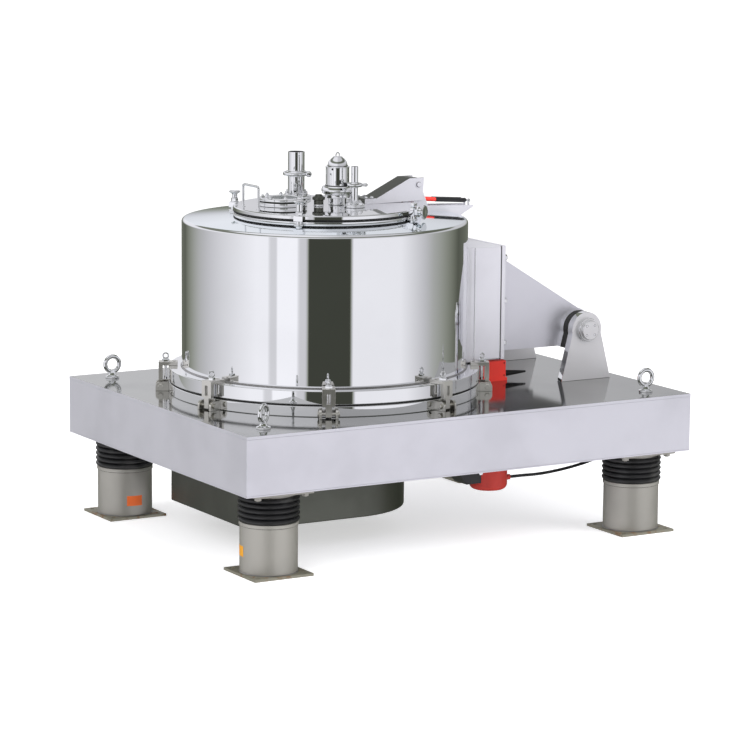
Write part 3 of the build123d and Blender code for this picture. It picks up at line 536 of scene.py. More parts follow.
# Drum: shell, rounded rim, low cone and the neck that takes the lid
drumLook = {
    "x": -0.243, "wall": 0.006, "rimRound": 0.014, "coneRise": 0.018, "neckRise": 0.026, "neckWidth": 0.024,
    "neckFlange": 0.010, "collar": 0.0105, "bead": 0.0035, "postAngles": (45, 135, 225, 305),
    "postCircle": 0.376, "postRadius": 0.0125, "postDisc": 0.021, "postFoot": 1.2585, "postTop": 1.2742,
}
drumLow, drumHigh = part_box("drum_shell")
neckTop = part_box("drum_top")[1][2]
drumRadius = (drumHigh[1] - drumLow[1]) / 2
neckRadius = 0.350
rimLevel = neckTop - drumLook["neckRise"]


def makeDrum():
    d = drumLook
    inner = drumRadius - d["wall"]
    collar = neckRadius + d["collar"]
    coneTop = rimLevel + d["coneRise"]
    posts = [polar(d["postCircle"], angle, centre=(d["x"], 0.0)) for angle in d["postAngles"]]
    profile = [(inner, drumLow[2]), (drumRadius, drumLow[2]), (drumRadius, rimLevel, d["rimRound"]),
               (collar, coneTop), (collar, neckTop, 0.0015), (neckRadius - d["neckWidth"], neckTop, 0.0015),
               (neckRadius - d["neckWidth"], coneTop - d["neckFlange"]), (inner, rimLevel - d["wall"], 0.008)]

    # Faces that point up above the rim get the bluer copy of the mirror steel as a painted reflection tint
    def topped(face):
        return 2 if face.normal.z > 0.9 and face.calc_center_median().z > rimLevel else 0

    finishPiece("drum", "cover", ["mirrorSteel", "weldSteel", "coneSteel"], [
        (spun(profile, 192, True, segments=8), topped, [spot(d["x"])]),
        (hoop(drumRadius + 0.0005, d["bead"], 192, 8), 1, [spot(d["x"], z=drumLow[2] + 0.001)]),
        (hoop(collar + 0.0005, 0.0020, 128, 8), 0, [spot(d["x"], z=coneTop)]),
        (rod(d["postRadius"], d["postFoot"], d["postTop"], 0.001, 32), 0, posts),
        (rod(d["postDisc"], d["postFoot"], d["postFoot"] + 0.005, 0.0015, 32), 0, posts),
    ], ["drum_shell", "drum_top"])


# Ring joint: two heavy rings with a flat gasket between them
ringLooks = {
    "lower_ring": {"name": "lowerRing", "body": "base", "look": "mirrorSteel", "inner": 0.565, "edge": 0.003},
    "upper_ring": {"name": "upperRing", "body": "cover", "look": "mirrorSteel", "inner": 0.559,
                   "edge": 0.003},
    "ring_gasket": {"name": "ringGasket", "body": "base", "look": "blackRubber", "inner": 0.565,
                    "edge": 0.001},
}


def makeRings():
    for node, ring in ringLooks.items():
        low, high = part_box(node)
        outer, inner, edge = (high[1] - low[1]) / 2, ring["inner"], ring["edge"]
        profile = [(inner, low[2], 0.001), (outer, low[2], edge), (outer, high[2], edge),
                   (inner, high[2], 0.001)]
        finishPiece(ring["name"], ring["body"], [ring["look"]], [
            (spun(profile, 192, True), 0, [spot(drumLook["x"])])], [node])


# Swing clamps: strap with its slot, swing bolt, pivot between the lugs and eye nut on top
clampLook = {
    "first": 62, "step": 45, "count": 7, "boltRadius": 0.648, "pivotLevel": 0.576, "pivotHalf": 0.036,
    "pivotThick": 0.007, "screwRadius": 0.628, "strapKnee": 0.620, "strapSquat": 0.741, "seat": 0.671,
    "eyeLevel": 0.6945, "eyeRing": 0.0105, "eyeBar": 0.0038, "eyeTurns": (0, 70, 0, 135, 5, 87, 47),
}


def clampStraps():
    shape = carried("clamp_straps", 0)
    knee, squat = clampLook["strapKnee"], clampLook["strapSquat"]
    for vert in shape.verts:
        if vert.co.z > knee:
            vert.co.z = knee + (vert.co.z - knee) * squat
    return eased(shape, 0.0022)


def makeClamps():
    c = clampLook
    angles = [c["first"] + c["step"] * number for number in range(c["count"])]
    axis = (drumLook["x"], 0.0)
    pivots = [polar(c["boltRadius"], angle, c["pivotLevel"], centre=axis) @ spot(turn=90, axis="X")
              for angle in angles]
    turned = [pivot @ spot(turn=180, axis="X") for pivot in pivots]
    pivotNut = (0.0115, c["pivotHalf"], c["pivotHalf"] + 0.007)
    screws = [polar(c["screwRadius"], angle, centre=axis) for angle in angles]
    eyes = [polar(c["screwRadius"], angle, c["eyeLevel"], turn, axis) @ spot(turn=90, axis="X")
            for angle, turn in zip(angles, c["eyeTurns"])]
    finishPiece("clampLugs", "base", ["castSteel"], [
        (carried("clamp_lugs", 0.0015), 0, here),
        (rod(c["pivotThick"], -c["pivotHalf"], c["pivotHalf"]), 0, pivots),
        (nut(*pivotNut), 0, pivots),
        (nut(*pivotNut), 0, turned),
    ], ["clamp_lugs"])
    finishPiece("clampStraps", "cover", ["castSteel"], [
        (clampStraps(), 0, here)], ["clamp_straps"])
    finishPiece("clampScrews", "cover", ["mirrorSteel"], [
        (rod(0.0062, 0.600, c["seat"] + 0.010), 0, screws),
        (nut(0.0155, c["seat"], c["seat"] + 0.012), 0, screws),
        (hoop(c["eyeRing"], c["eyeBar"], 36, 12), 0, eyes),
    ], ["clamp_screws"])


# Perforated basket on its spindle, seen when the cover is open
basketLook = {
    "radius": 0.400, "wall": 0.006, "low": 0.700, "high": 1.090, "lip": 0.300, "lipThick": 0.010,
    "floor": 0.012, "hub": 0.095, "hubTop": 0.790, "rows": 9, "around": 96, "holeEdge": 0.0035,
}


def makeBasket():
    b = basketLook
    wall = bmesh.new()
    bmesh.ops.create_cone(wall, cap_ends=False, segments=b["around"], radius1=b["radius"],
                          radius2=b["radius"], depth=b["high"] - b["low"])
    bmesh.ops.translate(wall, vec=(0, 0, (b["high"] + b["low"]) / 2), verts=wall.verts)
    upright = [e for e in wall.edges if abs(e.verts[0].co.z - e.verts[1].co.z) > 0.1]
    bmesh.ops.subdivide_edges(wall, edges=upright, cuts=2 * b["rows"], use_grid_fill=True)
    ring = (b["high"] - b["low"]) / (2 * b["rows"] + 1)
    chosen = []
    for face in wall.faces:
        middle = face.calc_center_median()
        row = int((middle.z - b["low"]) / ring)
        column = int((math.atan2(middle.y, middle.x) / (2 * math.pi) + 0.5) * b["around"])
        if row % 2 and column % 2 == (row // 2) % 2:
            chosen.append(face)
    bmesh.ops.inset_individual(wall, faces=chosen, thickness=b["holeEdge"], use_even_offset=True)
    bmesh.ops.delete(wall, geom=chosen, context="FACES")
    bmesh.ops.solidify(wall, geom=wall.faces, thickness=b["wall"])
    bmesh.ops.recalc_face_normals(wall, faces=wall.faces)
    lip = [(b["lip"], b["high"] - b["lipThick"], 0.003), (b["radius"], b["high"] - b["lipThick"]),
           (b["radius"], b["high"], 0.003), (b["lip"], b["high"], 0.003)]
    base = [(0, b["low"]), (b["radius"], b["low"], 0.003), (b["radius"], b["low"] + b["floor"]),
            (b["hub"], b["low"] + b["floor"], 0.012), (b["hub"] * 0.6, b["hubTop"], 0.006), (0, b["hubTop"])]
    finishPiece("basket", "base", ["mirrorSteel"], [
        (wall, 0, [spot(drumLook["x"])]),
        (spun(lip, 96, True), 0, [spot(drumLook["x"])]),
        (spun(base, 96), 0, [spot(drumLook["x"])]),
        (nut(0.030, b["hubTop"], b["hubTop"] + 0.022), 0, [spot(drumLook["x"])]),
    ], ["basket"])
    keepPiece("spindle", "base", "spindle", "satinSteel", 0.002)


makeDrum()
makeRings()
makeClamps()
makeBasket()
print("drum, rings, clamps and basket made")


# Feed lid with its lugs, three closed hand knobs and one that is swung out
lidLook = {
    "seat": 1.2955, "gasketRadius": 0.3600, "gasketInner": 0.330, "gasketLow": 1.2708, "gasketHigh": 1.2750,
    "bandRadius": 0.3634, "bandInner": 0.350, "bandLow": 1.2748, "bandHigh": 1.2802, "knobCircle": 0.372,
    "lugAngles": (45, 135, 225), "lugTop": 1.295, "washer": 0.016, "washerTop": 1.299, "nut": 0.0145,
    "nutTop": 1.312, "looseAngle": 305, "looseLevel": 1.291, "looseStart": 0.3970, "looseNut": 0.0215,
    "looseNutEnds": (-0.004, 0.010), "bossCircle": 0.378, "boss": 0.0130, "bossTop": 1.3085,
    "crossCircle": 0.382, "crossLevel": 1.3185, "crossTurn": 10, "cross": 0.0100, "crossHalf": 0.019,
    "handleX": -0.553, "handleY": (-0.017, 0.099), "handleFoot": 0.0055, "handleBead": 0.0018,
}
knobLooks = {
    "round": {"neck": 0.0105, "stem": 0.014, "rim": 0.0225, "dent": 0.0},
    "star": {"neck": 0.0125, "stem": 0.028, "rim": 0.0270, "dent": 0.45},
    "loose": {"neck": 0.0150, "stem": 0.020, "rim": 0.0285, "dent": 0.06},
}
knobLobes = 4
lidSeat = lidLook["seat"]


# Hand knob on a stem that flares into a thick rim, which may be cut into lobes
def handKnob(kind, low):
    knob = knobLooks[kind]
    neck, rim, flare = knob["neck"], knob["rim"], low + knob["stem"]
    shape = spun([(0, low), (neck, low, 0.001), (neck, flare, 0.002), (rim * 0.82, flare + 0.006, 0.003),
                  (rim, flare + 0.007, 0.003), (rim, flare + 0.014, 0.0035),
                  (rim * 0.4, flare + 0.0135, 0.003), (0, flare + 0.012)], 64)
    plain = neck + 0.002
    for vert in shape.verts:
        radius = math.hypot(vert.co.x, vert.co.y)
        if radius > plain:
            angle = math.atan2(vert.co.y, vert.co.x)
            wave = 0.5 - 0.5 * math.cos(knobLobes * angle)
            dent = 1 - knob["dent"] * wave * min(1.0, (radius - plain) / 0.006)
            vert.co.x *= dent
            vert.co.y *= dent
    return shape


def makeLid():
    d = lidLook
    axis = (drumLook["x"], 0.0)
    keepPiece("feedLid", "lid", "feed_lid", "mirrorSteel", 0.0008)
    finishPiece("lidGasket", "lid", ["blackRubber"], [
        (tube(d["gasketRadius"], d["gasketInner"], d["gasketLow"], d["gasketHigh"], 0.001, 128), 0,
         [spot(*axis)]),
        # The black band round the lid's lower edge is partly the gasket's edge and partly painted shade under
        # the lid rim
        (tube(d["bandRadius"], d["bandInner"], d["bandLow"], d["bandHigh"], 0.001, 128), 0, [spot(*axis)]),
    ], ["lid_gasket"])
    upright = [polar(d["knobCircle"], angle, centre=axis) for angle in d["lugAngles"]]
    swung = d["looseAngle"]
    loose = polar(d["looseStart"], swung, d["looseLevel"], centre=axis) @ spot(turn=90, axis="Y")
    boss = polar(d["bossCircle"], swung, centre=axis)
    cross = polar(d["crossCircle"], swung, d["crossLevel"], d["crossTurn"], axis) @ spot(turn=90, axis="X")
    finishPiece("lidKnobs", "lid", ["mirrorSteel"], [
        (rod(d["washer"], d["lugTop"], d["washerTop"], 0.001, 32), 0, upright),
        (nut(d["nut"], d["washerTop"], d["nutTop"]), 0, upright),
        (handKnob("round", d["nutTop"]), 0, upright[:2]),
        (handKnob("star", d["nutTop"]), 0, upright[2:]),
        (handKnob("loose", 0.0), 0, [loose]),
        (nut(d["looseNut"], *d["looseNutEnds"]), 0, [loose]),
        (nut(d["boss"], d["seat"], d["bossTop"]), 0, [boss]),
        (rod(d["cross"], -d["crossHalf"], d["crossHalf"], 0.003), 0, [cross]),
    ], ["lid_knobs"])
    feet = [spot(d["handleX"], y, d["seat"]) for y in d["handleY"]]
    finishPiece("lidHandle", "lid", ["mirrorSteel"], [
        (carried("lid_handle", 0.0), 0, here),
        (hoop(d["handleFoot"], d["handleBead"], 24, 8), 0, feet),
    ], ["lid_handle"], 60.0)


# Sight port: flange, gasket, cover with its window and eight studs; a dark disc under the glass is painted
# shade for the inside of the drum
portLook = {
    "x": -0.393, "y": 0.070, "radius": 0.095, "window": 0.058, "flangeTop": 1.311, "gasketTop": 1.315,
    "coverTop": 1.327, "glassLow": 1.318, "glassHigh": 1.326, "studRing": 0.081, "studs": 8, "stud": 0.0046,
    "studLow": 1.330, "studTop": 1.339, "nut": 0.0082, "nutTop": 1.334,
}


def makePort():
    p = portLook
    centre = spot(p["x"], p["y"])
    middle = [centre]
    step = 360 / p["studs"]
    studs = [centre @ polar(p["studRing"], step * (number + 0.5)) for number in range(p["studs"])]
    pane, shadeDisc = p["window"] - 0.0003, p["window"] - 0.001
    finishPiece("sightPort", "lid", ["mirrorSteel", "shadowLine"], [
        (tube(p["radius"], p["window"], lidSeat, p["flangeTop"], 0.002, 96), 0, middle),
        (tube(p["radius"] - 0.002, p["window"], p["flangeTop"], p["gasketTop"], 0.0005, 96), 1, middle),
        (tube(p["radius"], p["window"], p["gasketTop"], p["coverTop"], 0.003, 96), 0, middle),
        (nut(p["nut"], p["coverTop"], p["nutTop"]), 0, studs),
        (rod(p["stud"], p["studLow"], p["studTop"], 0.001, 16), 0, studs),
    ], ["sight_port"])
    finishPiece("sightGlass", "lid", ["portGlass", "shadowLine"], [
        (spun([(0, p["glassLow"]), (pane, p["glassLow"]), (pane, p["glassHigh"], 0.0008),
               (0, p["glassHigh"])], 64), 0, middle),
        (spun([(0, lidSeat + 0.001), (shadeDisc, lidSeat + 0.001), (shadeDisc, lidSeat + 0.0025),
               (0, lidSeat + 0.0025)], 48), 1, middle),
    ], ["sight_glass"])


# Tubes through the lid, each with a clamped ferrule joint above its bolted flange
tubeLooks = {
    "feedTube": {
        "node": "feed_tube", "x": -0.230, "y": 0.258, "outer": 0.0335, "inner": 0.031, "top": 1.484,
        "flange": 0.060, "flangeTop": 1.309, "joint": 1.396, "ferrule": 0.046, "bolts": 4, "boltTurn": 15,
        "head": 0.012,
    },
    "inletTube": {
        "node": "inlet_tube", "x": -0.173, "y": -0.110, "outer": 0.014, "inner": 0.012, "top": 1.456,
        "flange": 0.043, "flangeTop": 1.307, "joint": 1.383, "ferrule": 0.025, "bolts": 4, "boltTurn": 20,
        "head": 0.0085,
    },
}


def makeTubes():
    for name, t in tubeLooks.items():
        middle = spot(t["x"], t["y"])
        half = 0.003
        pipe = [(t["inner"], lidSeat), (t["flange"], lidSeat, 0.002), (t["flange"], t["flangeTop"], 0.0025),
                (t["outer"], t["flangeTop"], 0.004), (t["outer"], t["joint"] - 0.010, 0.004),
                (t["ferrule"], t["joint"] - half, 0.0015), (t["ferrule"], t["joint"] + half, 0.0015),
                (t["outer"], t["joint"] + 0.010, 0.004), (t["outer"], t["top"], 0.001),
                (t["inner"], t["top"], 0.001)]
        bolts = [middle @ polar(t["flange"] - 0.012, t["boltTurn"] + 90 * number)
                 for number in range(t["bolts"])]
        finishPiece(name, "lid", ["mirrorSteel"], [
            (spun(pipe, 64, True), 0, [middle]),
            (nut(t["head"], t["flangeTop"], t["flangeTop"] + t["head"]), 0, bolts),
            (rod(t["head"] * 0.5, t["flangeTop"], t["flangeTop"] + t["head"] * 1.6, 0.001, 16), 0, bolts),
        ], [t["node"]])


# Bands round the ferrules: the feed one has a barrel nut, the inlet one a wing nut and a knuckle
bandLook = {
    "feedInner": 0.0465, "feedRing": 0.054, "feedHalf": 0.0125, "feedAngle": -62, "barrel": 0.0115,
    "barrelHalf": 0.013, "barrelTurn": 32, "inletInner": 0.0255, "inletRing": 0.033, "inletHalf": 0.0095,
    "inletAngle": -30, "knuckle": 0.0065, "knuckleHalf": 0.0085,
}


def makeBands():
    b = bandLook
    feed, inlet = [spot(t["x"], t["y"], t["joint"]) for t in tubeLooks.values()]
    barrel = polar(b["feedRing"] + 0.006, b["feedAngle"]) @ spot(turn=90, axis="X")
    barrel = barrel @ spot(turn=b["barrelTurn"], axis="Y")
    wing = inlet @ polar(b["inletRing"], b["inletAngle"])
    stem = wing @ spot(turn=90, axis="Y")
    knuckle = inlet @ polar(b["inletRing"] + 0.002, b["inletAngle"] + 180)

    def band(inner, outer, half):
        return spun([(inner, -half * 0.6, 0.001), (outer - half * 0.35, -half, half * 0.3),
                     (outer, 0, half * 0.9), (outer - half * 0.35, half, half * 0.3),
                     (inner, half * 0.6, 0.001)], 72, True)

    finishPiece("tubeClamps", "lid", ["mirrorSteel", "blackPlastic"], [
        (band(b["feedInner"], b["feedRing"], b["feedHalf"]), 0, [feed]),
        (rod(b["barrel"], -b["barrelHalf"], b["barrelHalf"], 0.003, 24), 0, [feed @ barrel]),
        (band(b["inletInner"], b["inletRing"], b["inletHalf"]), 0, [inlet]),
        (rod(0.0032, -0.003, 0.020, 0.001, 16), 0, [stem]),
        (rod(0.0065, 0.0, 0.008, 0.0015, 20), 0, [stem]),
        (block((0.005, -0.018, -0.0055), (0.0165, 0.018, 0.0055), 0.0035), 0, [wing]),
        (rod(b["knuckle"], -b["knuckleHalf"], b["knuckleHalf"], 0.0015, 20), 1, [knuckle @ spot(0.003)]),
    ], ["tube_clamps"])


# Sight lamp and spray fitting
sightLampLook = {
    "x": -0.188, "y": -0.001, "ringTurn": 25, "ringLevel": 1.489, "screwTurn": 215, "screwLevel": 1.438,
}
sprayLook = {"x": -0.276, "y": -0.007, "darkFrom": 1.305}


def makeLamp():
    p = sightLampLook
    middle = spot(p["x"], p["y"])
    ring = middle @ spot(z=p["ringLevel"], turn=p["ringTurn"]) @ spot(turn=90, axis="X")
    screw = middle @ polar(0.0465, p["screwTurn"], p["screwLevel"]) @ spot(turn=90, axis="Y")
    neck = [(0, lidSeat), (0.040, lidSeat, 0.002), (0.036, 1.300, 0.003), (0.036, 1.323), (0, 1.323)]
    flange = [(0, 1.323), (0.049, 1.323, 0.002), (0.049, 1.337, 0.002), (0, 1.337)]
    collar = [(0.044, 1.337, 0.001), (0.058, 1.337, 0.008), (0.0645, 1.353, 0.014), (0.058, 1.371, 0.010),
              (0.046, 1.371, 0.002)]
    body = [(0, 1.368), (0.0475, 1.368), (0.0475, 1.374, 0.001), (0.0466, 1.3745), (0.0466, 1.4425),
            (0.0475, 1.443, 0.001), (0.0475, 1.4465, 0.002), (0.0415, 1.449, 0.001), (0.0395, 1.4492),
            (0, 1.4492)]
    dome = [(0, 1.449), (0.0395, 1.449), (0.0388, 1.456), (0.0370, 1.463), (0.0338, 1.4695), (0.0290, 1.4755),
            (0.0235, 1.4800), (0.0195, 1.4825, 0.001), (0.0190, 1.4855, 0.001), (0, 1.4860)]
    finishPiece("sightLamp", "lid", ["mirrorSteel", "shadowLine", "satinSteel"], [
        (spun(neck, 64), 0, [middle]),
        (spun(flange, 64), 0, [middle]),
        (spun(collar, 96, True, segments=6), 0, [middle]),
        (spun(body, 96, segments=6), 0, [middle]),
        (spun(dome, 96), 0, [middle]),
        (hoop(0.0482, 0.0012, 96, 8), 1, [middle @ spot(z=1.3722)]),
        (hoop(0.0400, 0.0009, 96, 8), 1, [middle @ spot(z=1.4497)]),
        (hoop(0.012, 0.0026, 40, 12), 0, [ring]),
        (rod(0.004, 0.0, 0.0025, 0.001, 16), 1, [screw]),
    ], ["sight_lamp"])
    spray = [(0, lidSeat), (0.024, lidSeat, 0.002), (0.019, 1.300, 0.003), (0.019, 1.318, 0.002),
             (0.025, 1.320, 0.002), (0.025, 1.330, 0.002), (0.017, 1.333, 0.002), (0.012, 1.3405, 0.002),
             (0, 1.3408)]
    place = [spot(sprayLook["x"], sprayLook["y"])]

    # The top of the fitting and its nut take the dark steel as painted dark reflection
    def darkened(face):
        return 1 if face.calc_center_median().z > sprayLook["darkFrom"] else 0

    finishPiece("sprayFitting", "lid", ["mirrorSteel", "guardSteel"], [
        (spun(spray, 48), darkened, place),
        (nut(0.0235, 1.3195, 1.3305), 1, place),
    ], ["spray_fitting"])


makeLid()
makePort()
makeTubes()
makeBands()
makeLamp()
print("lid and its fittings made")


# Arm of the feed lid, its bracket on the drum and the two gas struts
armLook = {
    "hinge": (0.158, 1.362),
    "footBolts": [(-0.075, -0.030), (-0.075, 0.030), (-0.048, -0.030), (-0.048, 0.030)], "footTop": 1.317,
    "footNut": 0.0075, "footNutTop": 1.3235, "ball": (0.414, 1.283), "eye": (0.134, 1.303), "strutY": 0.015,
    "rodShow": 0.056, "collar": 0.060, "pinHead": 0.0095, "pinLow": 0.0505, "pinHigh": 0.0535,
}


def alongStrut(side):
    a = armLook
    ball = Vector((a["ball"][0], side * a["strutY"], a["ball"][1]))
    eye = Vector((a["eye"][0], side * a["strutY"], a["eye"][1]))
    facing = (eye - ball).to_track_quat("Z", "Y").to_matrix().to_4x4()
    return Matrix.Translation(ball) @ facing, (eye - ball).length


def makeLidArm():
    a = armLook
    x, z = a["hinge"]
    pinEnds = [spot(x, 0, z, turn, "X") for turn in (90, -90)]

    # Faces that point up or towards -X take the dark steel as painted shade
    def paintedShadeFaces(face):
        return 1 if face.normal.z > 0.3 or face.normal.x < -0.5 else 0

    finishPiece("lidArm", "lid", ["satinSteel", "guardSteel", "mirrorSteel"], [
        (carried("lid_arm", 0.0012), paintedShadeFaces, here),
        (nut(a["footNut"], a["footTop"], a["footNutTop"]), 2, [spot(*bolt) for bolt in a["footBolts"]]),
    ], ["lid_arm"])
    finishPiece("lidBracket", "cover", ["satinSteel", "shadowLine"], [
        (carried("lid_bracket", 0.0010), 0, here),
        (rod(a["pinHead"], a["pinLow"], a["pinHigh"]), 0, pinEnds),
        (hoop(a["pinHead"] + 0.0005, 0.0009, 32, 8), 1, [end @ spot(z=a["pinLow"]) for end in pinEnds]),
    ], ["lid_bracket"])
    barrels = [alongStrut(side)[0] for side in (-1, 1)]
    length = alongStrut(1)[1]
    start, end = 0.012, length - 0.007 - a["rodShow"] - a["collar"]
    barrel = [(0, start), (0.005, start, 0.001), (0.009, start + 0.008, 0.002), (0.009, end), (0, end)]
    socket = [(0, -0.0078), (0.0055, -0.0056, 0.002), (0.008, 0, 0.006), (0.0055, 0.0056, 0.002),
              (0.0035, 0.0078), (0.0035, start + 0.002), (0, start + 0.002)]
    collar = [(0.0045, end), (0.008, end, 0.001), (0.008, end + a["collar"], 0.001),
              (0.0045, end + a["collar"])]
    finishPiece("strutTubes", "strut_barrels", ["blackPaint", "mirrorSteel"], [
        (spun(barrel, 32), 0, barrels),
        (spun(socket, 32), 1, barrels),
    ], ["strut_tubes"])
    finishPiece("strutCollars", "strut_barrels", ["redPlastic"], [
        (spun(collar, 32, True), 0, barrels)], ["strut_collars"])
    keepPiece("strutRods", "strut_shafts", "strut_rods", "mirrorSteel", 0.0, 60.0)


# Hinge box on the drum, its bolted flange, the arm of the cover and the ears on the platform
hingeLook = {
    "x": 0.816, "z": 0.764, "flangeFace": 0.456, "boltY": 0.217, "boltLevels": (1.071, 0.896, 0.727),
    "washer": 0.014, "washerTop": 0.003, "head": 0.0135, "headTop": 0.014, "cheek": 0.198, "pin": 0.028,
    "pinHalf": 0.291, "discLow": 0.2901, "discRadius": 0.047, "discStep": 0.308, "discTop": 0.3195,
    "capRadius": 0.039, "capScrews": 4, "screwCircle": 0.027, "flare": 0.065,
}


# Concave strip that leads the drum into the side of the hinge box
def flareStrip(side, low, high, faceY):
    radius = hingeLook["flare"]
    across = faceY + radius
    along = math.sqrt((drumRadius + radius) ** 2 - across ** 2)
    first = math.atan2(-across, -along)
    last = -math.pi / 2
    first -= 2 * math.pi if first > 0 else 0
    steps = 12
    angles = [first + (last - first) * step / steps for step in range(steps + 1)]
    arc = [(drumLook["x"] + along + radius * math.cos(angle), across + radius * math.sin(angle))
           for angle in angles]
    inner = [(arc[-1][0], faceY - 0.002), (arc[0][0] - 0.004, faceY - 0.002)]
    shape = slab([(x, side * y) for x, y in arc + inner], low, high, 0.0)
    return shape, (arc[-1][0], side * (faceY + 0.0004))


def makeHinge():
    h = hingeLook
    boxLow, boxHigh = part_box("hinge_box")
    flares = [flareStrip(side, boxLow[2] + 0.001, boxHigh[2] - 0.001, boxHigh[1]) for side in (-1, 1)]
    finishPiece("hingeBox", "cover", ["satinSteel", "mirrorSteel"], [
        (carried("hinge_box", 0.0012), 0, here),
        (flares[0][0], 0, here),
        (flares[1][0], 0, here),
        (rod(0.0022, boxLow[2] + 0.002, boxHigh[2] - 0.002, 0.001, 12), 1,
         [spot(*foot) for _, foot in flares]),
    ], ["hinge_box"])
    keepPiece("hingeBoxGasket", "cover", "hinge_box_gasket", "blackRubber", 0.0006)
    heads = [spot(h["flangeFace"], side * h["boltY"], level, 90, "Y")
             for side in (-1, 1) for level in h["boltLevels"]]
    finishPiece("hingeBoxFlange", "cover", ["satinSteel", "mirrorSteel"], [
        (carried("hinge_box_flange", 0.002), 0, here),
        (rod(h["washer"], 0.0, h["washerTop"], 0.0008), 1, heads),
        (nut(h["head"], h["washerTop"], h["headTop"]), 1, heads),
    ], ["hinge_box_flange"])

    def rimmed(face):
        return 1 if abs(face.normal.y) < 0.5 and abs(face.calc_center_median().y) > h["cheek"] else 0

    def faced(face):
        return 1 if abs(face.normal.y) > 0.9 else 0

    finishPiece("coverArm", "cover", ["sheetSteel", "mirrorSteel"], [
        (carried("cover_arm", 0.0018), rimmed, here)], ["cover_arm"])
    finishPiece("hingeEars", "base", ["dullSteel", "mirrorSteel"], [
        (carried("hinge_ears", 0.0018), rimmed, here)], ["hinge_ears"])
    keepPiece("hingeSeals", "base", "hinge_seals", "blackRubber", 0.0010)
    caps = [spot(h["x"], 0, h["z"], turn, "X") for turn in (90, -90)]
    screws = [cap @ polar(h["screwCircle"], 45 + 90 * number) for cap in caps
              for number in range(h["capScrews"])]
    disc = [(0.0, h["discLow"]), (h["discRadius"], h["discLow"]), (h["discRadius"], h["discStep"], 0.0025),
            (h["capRadius"], h["discStep"], 0.001), (h["capRadius"], h["discTop"], 0.002), (0, h["discTop"])]
    finishPiece("hingePin", "base", ["mirrorSteel", "dullSteel", "shadowLine"], [
        (rod(h["pin"], -h["pinHalf"], h["pinHalf"], 0.001, 64), 0, caps[:1]),
        (spun(disc, 64), faced, caps),
        (hoop(0.0046, 0.0006, 16, 6), 2, [screw @ spot(z=h["discTop"]) for screw in screws]),
        (rod(0.0040, h["discTop"] - 0.0005, h["discTop"] + 0.0004, 0.0004, 16), 0, screws),
    ], ["hinge_pin"])


# Interlock switch below the hinge box, with the rubber boot of its lead
def makeSwitch():
    low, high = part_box("interlock_switch")
    screws = [spot(x, low[1], z, 90, "X") for x in (low[0] + 0.015, high[0] - 0.015) for z in (0.580, 0.630)]
    finishPiece("interlockSwitch", "base", ["redPlastic", "shadowLine"], [
        (carried("interlock_switch", 0.0022), 0, here),
        (rod(0.0028, 0.0, 0.0008, 0.0004, 16), 1, screws),
    ], ["interlock_switch"])
    keepPiece("switchBoot", "base", "switch_boot", "blackRubber", 0.0, 60.0)


makeLidArm()
makeHinge()
makeSwitch()
print("hinges, struts and switch made")


# Platform box with its dark mirror top
def makePlatform():
    finishPiece("platformTop", "base", ["plateSteel", "sheetSteel"], [
        (carried("platform_top", 0.0010), lambda face: 0 if face.normal.z > 0.9 else 1, here)],
        ["platform_top"])
    keepPiece("platformSkirt", "base", "platform_skirt", "sheetSteel", 0.0015)
    keepPiece("platformFloor", "base", "platform_floor", "sheetSteel", 0.0010)


# Legs: drilled foot, round housing, bellows and the bolted cap under the platform
legLook = {
    "x": 0.825, "y": 0.610, "radius": 0.110, "band": 0.113, "foot": 0.010, "folds": 5, "valley": 0.107,
    "ridge": 0.0108, "roundness": 0.7, "foldSteps": 12, "patchProud": 0.0004, "capHalf": 0.125,
    "capLow": 0.316, "capTop": 0.328, "rim": 0.104, "rimLow": 0.304, "stud": 0.100,
}
legPlaces = {
    "left_front": {"x": -1, "y": -1, "patch": {"look": "amberPatch", "from": 147, "to": 182, "low": 0.073,
                                               "high": 0.113}},
    "left_rear": {"x": -1, "y": 1, "patch": {"look": "orangePatch", "from": 248, "to": 282, "low": 0.052,
                                             "high": 0.093}},
    "right_front": {"x": 1, "y": -1},
    "right_rear": {"x": 1, "y": 1},
}


def makeLegs():
    d = legLook
    housing = [(0, 0.012), (d["radius"] - 0.001, d["foot"]), (d["radius"], d["foot"] + 0.001),
               (d["radius"], 0.189), (d["band"], 0.1895, 0.001), (d["band"], 0.203, 0.002), (0.100, 0.203),
               (0, 0.203)]
    bellowsLow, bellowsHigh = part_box("bellows_left_front")
    height = (bellowsHigh[2] - bellowsLow[2]) / d["folds"]
    waves = [(0, bellowsLow[2])]
    for step in range(d["foldSteps"] * d["folds"] + 1):
        swell = abs(math.sin(math.pi * step / d["foldSteps"])) ** d["roundness"]
        waves.append((d["valley"] + d["ridge"] * swell, bellowsLow[2] + height * step / d["foldSteps"]))
    waves.append((0, bellowsHigh[2]))
    for name, leg in legPlaces.items():
        x, y = leg["x"] * d["x"], leg["y"] * d["y"]
        parts = [
            (carried("leg_" + name, 0.0012, keep=lambda middle: middle.z < d["foot"] + 0.0001), 1, here),
            (spun(housing, 96), 0, [spot(x, y)]),
            (hoop(d["radius"] + 0.0005, 0.0022, 96, 8), 2, [spot(x, y, d["foot"] + 0.001)]),
            (hoop(d["radius"] + 0.0002, 0.0008, 96, 8), 3, [spot(x, y, 0.1885)]),
        ]
        names = ["legSteel", "rawSteel", "weldSteel", "shadowLine"]
        if "patch" in leg:
            p = leg["patch"]
            edge = d["radius"] + d["patchProud"]
            back = d["radius"] - 0.0002
            sheet = [(back, p["low"]), (edge, p["low"]), (edge, p["high"]), (back, p["high"])]
            parts.append((spun(sheet, 16, True, p["to"] - p["from"]), 4, [spot(x, y, 0, p["from"])]))
            names.append(p["look"])
        finishPiece("leg_" + name, "base", names, parts, ["leg_" + name])
        finishPiece("bellows_" + name, "base", ["bellowsRubber"], [
            (spun(waves, 96), 0, [spot(x, y)])], ["bellows_" + name], 70.0)


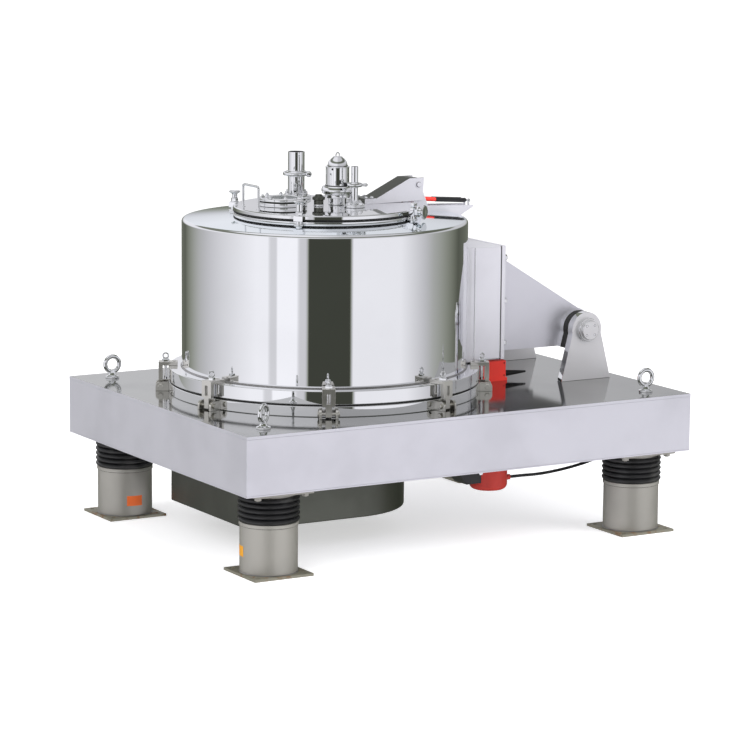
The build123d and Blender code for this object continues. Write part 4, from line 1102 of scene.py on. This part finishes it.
def makeLegCaps():
    d = legLook
    corners = [spot(sx * d["x"], sy * d["y"]) for sx in (-1, 1) for sy in (-1, 1)]
    studs = [corner @ spot(sx * d["stud"], sy * d["stud"])
             for corner in corners for sx in (-1, 1) for sy in (-1, 1)]
    half, low, rimLow = d["capHalf"], d["capLow"], d["rimLow"]
    rim = [(0, rimLow), (d["rim"], rimLow, 0.001), (d["rim"], low), (0, low)]
    finishPiece("legCaps", "base", ["legSteel", "weldSteel"], [
        (block((-half, -half, low), (half, half, d["capTop"]), 0.0015), 0, corners),
        (spun(rim, 96), 0, corners),
        (rod(0.0155, low - 0.0025, low, 0.0006), 0, studs),
        (nut(0.0145, 0.0025 - low, -rimLow), 0, [stud @ spot(turn=180, axis="X") for stud in studs]),
        (rod(0.0085, rimLow - 0.002, rimLow + 0.002, 0.001), 0, studs),
    ], ["leg_caps"])


# Lifting eyes: collared ring bolts, one of them turned
eyeLook = {"x": 0.865, "y": 0.640, "level": 0.615, "ring": 0.031, "bar": 0.0088, "turns": {(-1, -1): 35}}


def makeEyes():
    e = eyeLook
    corners = {(sx, sy): spot(sx * e["x"], sy * e["y"]) for sx in (-1, 1) for sy in (-1, 1)}
    rings = [spot(sx * e["x"], sy * e["y"], e["level"], e["turns"].get((sx, sy), 0)) @ spot(turn=90, axis="X")
             for sx, sy in corners]
    collar = [(0, 0.558), (0.028, 0.558, 0.001), (0.028, 0.566, 0.002), (0.017, 0.569, 0.004),
              (0.0125, 0.580, 0.004), (0.010, 0.590), (0, 0.590)]
    finishPiece("liftingEyes", "base", ["mirrorSteel"], [
        (spun(collar, 48), 0, list(corners.values())),
        (hoop(e["ring"], e["bar"], 64, 20), 0, rings),
    ], ["lifting_eyes"])


# Under the platform: belt guard, junction pot with its feed box, and the end box of the cable
def makeUnderside():
    # The belt guard's dark steel is painted shade under the platform
    keepPiece("driveGuard", "base", "drive_guard", "guardSteel", 0.0008)
    keepPiece("junctionPot", "base", "junction_pot", "redPaint", 0.0008)
    finishPiece("junctionBox", "base", ["blackPaint", "mirrorSteel"], [
        (carried("junction_box", 0.0025), 0, here),
        (nut(0.010, 0.0, 0.007), 1, [spot(0.178, -0.505, 0.270, 90, "X")]),
    ], ["junction_box"])
    keepPiece("endBox", "base", "end_box", "blackPaint", 0.0020)


makePlatform()
makeLegs()
makeLegCaps()
makeEyes()
makeUnderside()
print("platform, legs and underside made")
